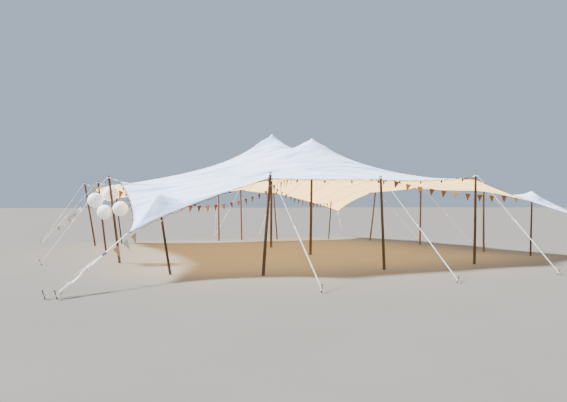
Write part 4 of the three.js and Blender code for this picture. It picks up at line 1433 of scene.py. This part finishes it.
def corner_strap(name):
    """A strap from the cloth's corner through its ratchet to the stake."""
    build = Build()
    tip, end = at(CORNERS[name]), strap_end("corner_" + name, CORNERS[name])
    way, side, face = along([tip, end])[0]
    buckle = tip.lerp(end, RATCHET_SHARE)
    after = buckle + way * RATCHET_LENGTH
    webbing(build, tip + way * 0.03, buckle + way * 0.05, 0.030)
    webbing(build, after - way * 0.06, end, steps=30)
    centre = buckle + way * RATCHET_LENGTH / 2
    for offset in (-0.037, 0.037):
        box_shape(build, centre + side * offset, way, side, face, RATCHET_PLATE, 1, 0.00048)
    box_shape(build, centre + face * 0.018 + way * 0.01, way, side, face, RATCHET_HANDLE, 2, 0.006)
    for place, half, radius, sides, pick in RATCHET_RODS:
        middle = centre + way * place
        build.rod(middle - side * half, middle + side * half, radius, sides, pick)
    stakes = ["corner_" + name]
    if name == "front_left":
        stakes.append("corner_front_left_outer")
        other_end = strap_end(stakes[1], after - SHIFT)
        webbing(build, after - way * RATCHET_LENGTH / 4, other_end, 0.042, steps=30, twist=0.9)
        back_leg = side * 0.045 + face * 0.012
        start = after.lerp(end, 0.40) + back_leg * 0.6
        webbing(build, start, end - way * 0.12 + back_leg, 0.045, twist=0.5)
        for share, length, girth in BUNDLES:
            bundle(build, after.lerp(end, share), way, side, length, girth)
    if name == "rear_right":
        gathered_cloth(build, tip + way * 0.07, end - way * 0.32, side, face)
    for stake in stakes:
        stake_loop(build, stake)
    piece = build.piece(f"corner_strap_{name}_webbing", WEBBING, STEEL, BLUE, TWISTED)
    placed(piece, "strap", f"corner_strap_{name}")


for name in CORNERS:
    corner_strap(name)


# Rings and tabs at the hem's held points

rings = Build()
tabs = Build()
for foot, top, hem_point, _ in EDGE_POLES.values():
    eye = at(hem_point)
    way, side, face = along([eye, at(axis_point(foot, top, top[2] - POLE_RING_DROP))])[0]
    centre = eye + way * 0.018
    angles = [TURN * k / 20 for k in range(20)]
    loop = [centre + way * math.cos(a) * 0.022 + side * math.sin(a) * 0.026 for a in angles]
    rings.hoop(loop, centre, face, 0.0035, 8)
    inner = eye - way * 0.16
    for lift in (face * 0.0055, face * -0.0055):
        webbing(tabs, inner + lift, centre + lift * 0.4 - way * 0.012, 0.034, 0.003, steps=4)
placed(rings.piece("hem_rings", STEEL), "steel")
placed(tabs.piece("hem_ring_tabs", WEBBING), "strap")


# Paper lanterns

def lantern_piece(name, centre, carrier, share):
    """A ribbed paper ball with a wire hoop at each mouth, on a string from what carries it."""
    middle = at(centre)
    build = Build()
    levels = []
    for k in range(LANTERN_RIBS * 3 + 1):
        t = between((LANTERN_MOUTH, math.pi - LANTERN_MOUTH), k / (LANTERN_RIBS * 3))
        radius = LANTERN_RADIUS * (1.0 if k % 3 == 0 else 0.989)
        levels.append((radius * math.sin(t), -radius * math.cos(t)))
    outer = [ring_at(middle + UP * h, r, 48) for r, h in levels]
    inner = [ring_at(middle + UP * h * PAPER_SHARE, r * PAPER_SHARE, 48) for r, h in levels[::-1]]
    build.rings(outer + inner, closed=True)
    for radius, height in (levels[0], levels[-1]):
        mouth = middle + UP * height
        build.hoop(ring_at(mouth, radius, 32), mouth, UP, 0.002, 6, 1)
    build.rod(mouth - ACROSS * radius, mouth + ACROSS * radius, 0.002, 6, 1)
    if carrier == "hem":
        row = next(k for k in range(LAST) if GRID[k + 1, 0, 1] > centre[1])
        knot = on_cloth(row + 0.5, FINE * 0.25, -CLOTH_HALF)
    else:
        guy = Guy("left_front")
        end = guy.stake_mark if carrier == "guy" else guy.hem
        start = at(guy.pole_mark) + polar(heading(guy.pole_mark, end), guy.radius + ROPE_RADIUS)
        knot = start.lerp(at(end), share) - UP * ROPE_RADIUS
    build.rod(mouth, knot, 0.003, 8, 2, ACROSS, 6)
    placed(build.piece(name + "_paper", PAPER, STEEL, CORD), "paper", name)


for name, hung in LANTERNS.items():
    lantern_piece(name, *hung)


# Lamp cable along the hem

def hem_place(axis, cell, outset):
    """Point let out square to the hem, at a place counted in net cells."""
    row, column = (0, cell * FINE) if axis == "x" else (cell * FINE, 0)
    edge = on_cloth(row, column)
    inside = on_cloth(row + FINE, column) if axis == "x" else on_cloth(row, column + FINE)
    return edge + (edge - inside).normalized() * outset


def festoon(name, axis, first, last, every):
    """A cable clipped under the hem at each cell, with a lamp at every so many."""
    path, lamps = [], []
    steps = int((last - first) * 10)
    for k in range(steps + 1):
        cell = first + k / 10
        point = hem_place(axis, cell, FESTOON_RADIUS + 0.004)
        off = abs(cell - round(cell))
        point.z -= FESTOON_SAG * max(0.0, 1 - (off / 0.5) ** 2)
        path.append(point)
        if off < 1e-6 and round(cell) % every == 0:
            lamps.append(point)
    build = Build()
    build.rings(swept(path, round_section(FESTOON_RADIUS, 8)))
    for clip in path[::10]:
        build.rod(clip + UP * 0.012, clip - UP * 0.012, 0.010, 8, 0, ACROSS, 1)
    placed(build.piece(name + "_cable", RUBBER), "cable", name)
    placed(grown(name + "_lamps", lamps, [], LAMP_TREE, {
        "Holder Radius": 0.033, "Bulb Radius": 0.031, "Drop": 0.026, "Seed": 4,
        "Finish": RUBBER, "Bulb Finish": GLASS,
    }), "cable")


festoon("festoon_cable_left", "y", 0.5, 10.5, 1)
festoon("festoon_cable_front", "x", 0.5, 24.5, 2)


# Bunting

def flag_shape():
    """One flag, a thin doubled sheet that narrows to a point, with a curl in its cloth."""
    width, drop = PENNANT
    rows, columns = 8, 6
    points = []
    for thick in (0.0012, -0.0012):
        for share in (r / rows for r in range(rows + 1)):
            half = between((width / 2, 0.004), share)
            for c in range(columns + 1):
                x = half * (2 * c / columns - 1)
                curl = 0.012 * math.sin(3.0 * x / width * 2 + 2.2 * share) * share
                points.append((x, curl + thick, 0.004 - drop * share))
    faces = np.roll(np.concatenate(layered(rows + 1, columns + 1)), 1, axis=1)
    return mesh_object("flag", points, faces, [FLAG], uvs=np.array(points)[faces][..., [0, 2]])


FLAG_SHAPE = flag_shape()


def held_axis(name, height):
    """Point in a pole at a height, the pole's radius there, and its foot and top."""
    if name in INNER_POLES:
        foot, peak, radii, _ = INNER_POLES[name]
        top = (*peak[:2], peak[2] - 0.005)
    else:
        foot, top, _, _ = EDGE_POLES[name]
        radii = POLE_RADIUS
    return axis_point(foot, top, height), between(radii, height / top[2]), foot, top


def pole_turns(point, radius, foot, top):
    """A line's turns round a pole."""
    return helix(foot, top, radius + 0.0045, point.z - 0.009, point.z + 0.009, 0, 2.2)


def line_turns(point, way, radius):
    """A line's turns round a rope or edge that runs through a point."""
    return coil(point - way * 0.02, point + way * 0.02, 0.5, 2, radius)


def cord_curve(name, path):
    curve = bpy.data.curves.new(name, "CURVE")
    curve.dimensions = "3D"
    curve.bevel_depth = LINE_RADIUS
    curve.bevel_resolution = 2
    curve.use_fill_caps = True
    spline = curve.splines.new("POLY")
    spline.points.add(len(path) - 1)
    for knot, point in zip(spline.points, path):
        knot.co = (*point, 1)
    curve.materials.append(CORD)
    return in_scene(name, curve)


def flag_line(name, node, start, end, clear, sag, pitch, margin, seed, knots, finish=FLAG, turn=0.12):
    """A sagging line with flags. It stops short of each end point by so much, and is knotted there."""
    def sagged(t):
        return at(start.lerp(end, t)) - UP * (4 * sag * t * (1 - t))

    length = (end - start).length
    level = (end - start).xy.length
    ends = clear[0] / level, 1 - clear[1] / level
    path = [sagged(between(ends, k / 30)) for k in range(31)]
    cord = placed(cord_curve(name + "_cord", path), "bunting", *node)
    count = int((length - margin) // pitch)
    spare = (length - count * pitch) / 2
    marks = [sagged(((k + 0.5) * pitch + spare) / length) for k in range(count)]
    flags = placed(grown(name + "_flags", *polylines([marks]), PENNANT_TREE, {
        "Flag": FLAG_SHAPE, "Swing": 0.2, "Turn": turn, "Seed": seed, "Finish": finish,
    }), "bunting")
    ties = placed(grown(name + "_ties", *polylines(knots), ROPE_TREE, {
        "Radius": LINE_RADIUS, "Lay": 0.03, "Step": 0.012, "Finish": CORD,
    }), "bunting")


def bunting_line(name, start, end, sag, seed):
    """Flags between two poles."""
    poles = [held_axis(*start), held_axis(*end)]
    knots = [pole_turns(*pole) for pole in poles]
    clear = [pole[1] + 0.002 for pole in poles]
    turn = 0.35 if name == "bunting_front" else 0.12
    start, end = poles[0][0], poles[1][0]
    flag_line(name, [name], start, end, clear, sag, PENNANT_PITCH, 0.4, seed, knots, turn=turn)


def guy_flags(pole, height, share, sag, pitch):
    """Flags from a pole's middle down to a knot on its own guy rope."""
    held = held_axis(pole, height)
    guy = Guy(pole)
    knot = guy.pole_mark.lerp(guy.stake_mark, share)
    way = (guy.stake_mark - guy.pole_mark).normalized()
    knots = [pole_turns(*held), line_turns(at(knot), way, ROPE_RADIUS + 0.005)]
    clear = (held[1] + 0.002, 0.016)
    flag_line("guy_flag_row", [], held[0], knot, clear, sag, pitch, 0.5, 41, knots, PALE_FLAG)


def strap_flags(cell, sag, pitch):
    """Flags from the front hem to the front left strap's tensioner."""
    mark = axis_point(*stake_axis("corner_front_left"), STAKE_RING)
    hem_point = hem_place("x", cell, 0.004) - SHIFT
    buckle = at(CORNERS["front_left"]).lerp(at(mark), RATCHET_SHARE) - SHIFT - UP * 0.03
    way = Vector(CLOTH[0, FINE + 1] - CLOTH[0, FINE - 1]).normalized()
    knots = [line_turns(at(hem_point), way, 0.010)]
    flag_line("strap_flag_row", [], hem_point, buckle, (0.006, 0.010), sag, pitch, 0.15, 23, knots, PALE_FLAG)


for order, (name, line) in enumerate(BUNTING.items()):
    bunting_line(name, *line, 3 + 9 * order)
guy_flags("left_rear", height=2.5, share=0.8, sag=0.13, pitch=0.43)
strap_flags(cell=0.9, sag=0.06, pitch=0.40)
bpy.data.objects.remove(FLAG_SHAPE)


# Floor, light and camera

floor = Build()
floor.add([(-FLOOR, -FLOOR, 0), (FLOOR, -FLOOR, 0), (FLOOR, FLOOR, 0), (-FLOOR, FLOOR, 0)], [(0, 1, 2, 3)])
floor.piece("studio_floor", mottled_finish(
    "studio_floor", (0.175, 0.168, 0.155), (0.20, 0.192, 0.177), 0.4, 3.0, 0.9, specular=0.1, relief=0))

world = bpy.data.worlds.new("soft_sky")
bpy.context.scene.world = world
world.use_nodes = True
sky = world.node_tree.nodes["Background"].inputs
sky["Color"].default_value = (0.46, 0.56, 0.70, 1)
sky["Strength"].default_value = 1.0


def turned(piece, towards):
    """The lamp or camera looks this way."""
    piece.rotation_mode = "QUATERNION"
    piece.rotation_quaternion = Vector(towards).to_track_quat("-Z", "Y")


def sun(name, towards, energy, angle, colour):
    light = bpy.data.lights.new(name, "SUN")
    light.energy = energy
    light.angle = math.radians(angle)
    light.color = colour
    turned(in_scene(name, light), towards)


sun("key", (0.58, -0.36, -0.76), 15.0, 10, (1.0, 0.985, 0.96))
sun("fill", (-0.35, 0.80, -0.45), 1.0, 50, (0.86, 0.93, 1.0))

camera = in_scene("camera", bpy.data.cameras.new("camera"))
camera.data.sensor_width = 36
camera.data.lens = 35
camera.data.clip_end = 500
camera.location = at(CAMERA_PLACE)
turned(camera, (*(part * math.cos(CAMERA_PITCH) for part in CAMERA_WAY), math.sin(CAMERA_PITCH)))
bpy.context.scene.camera = camera

bpy.context.view_layer.update()
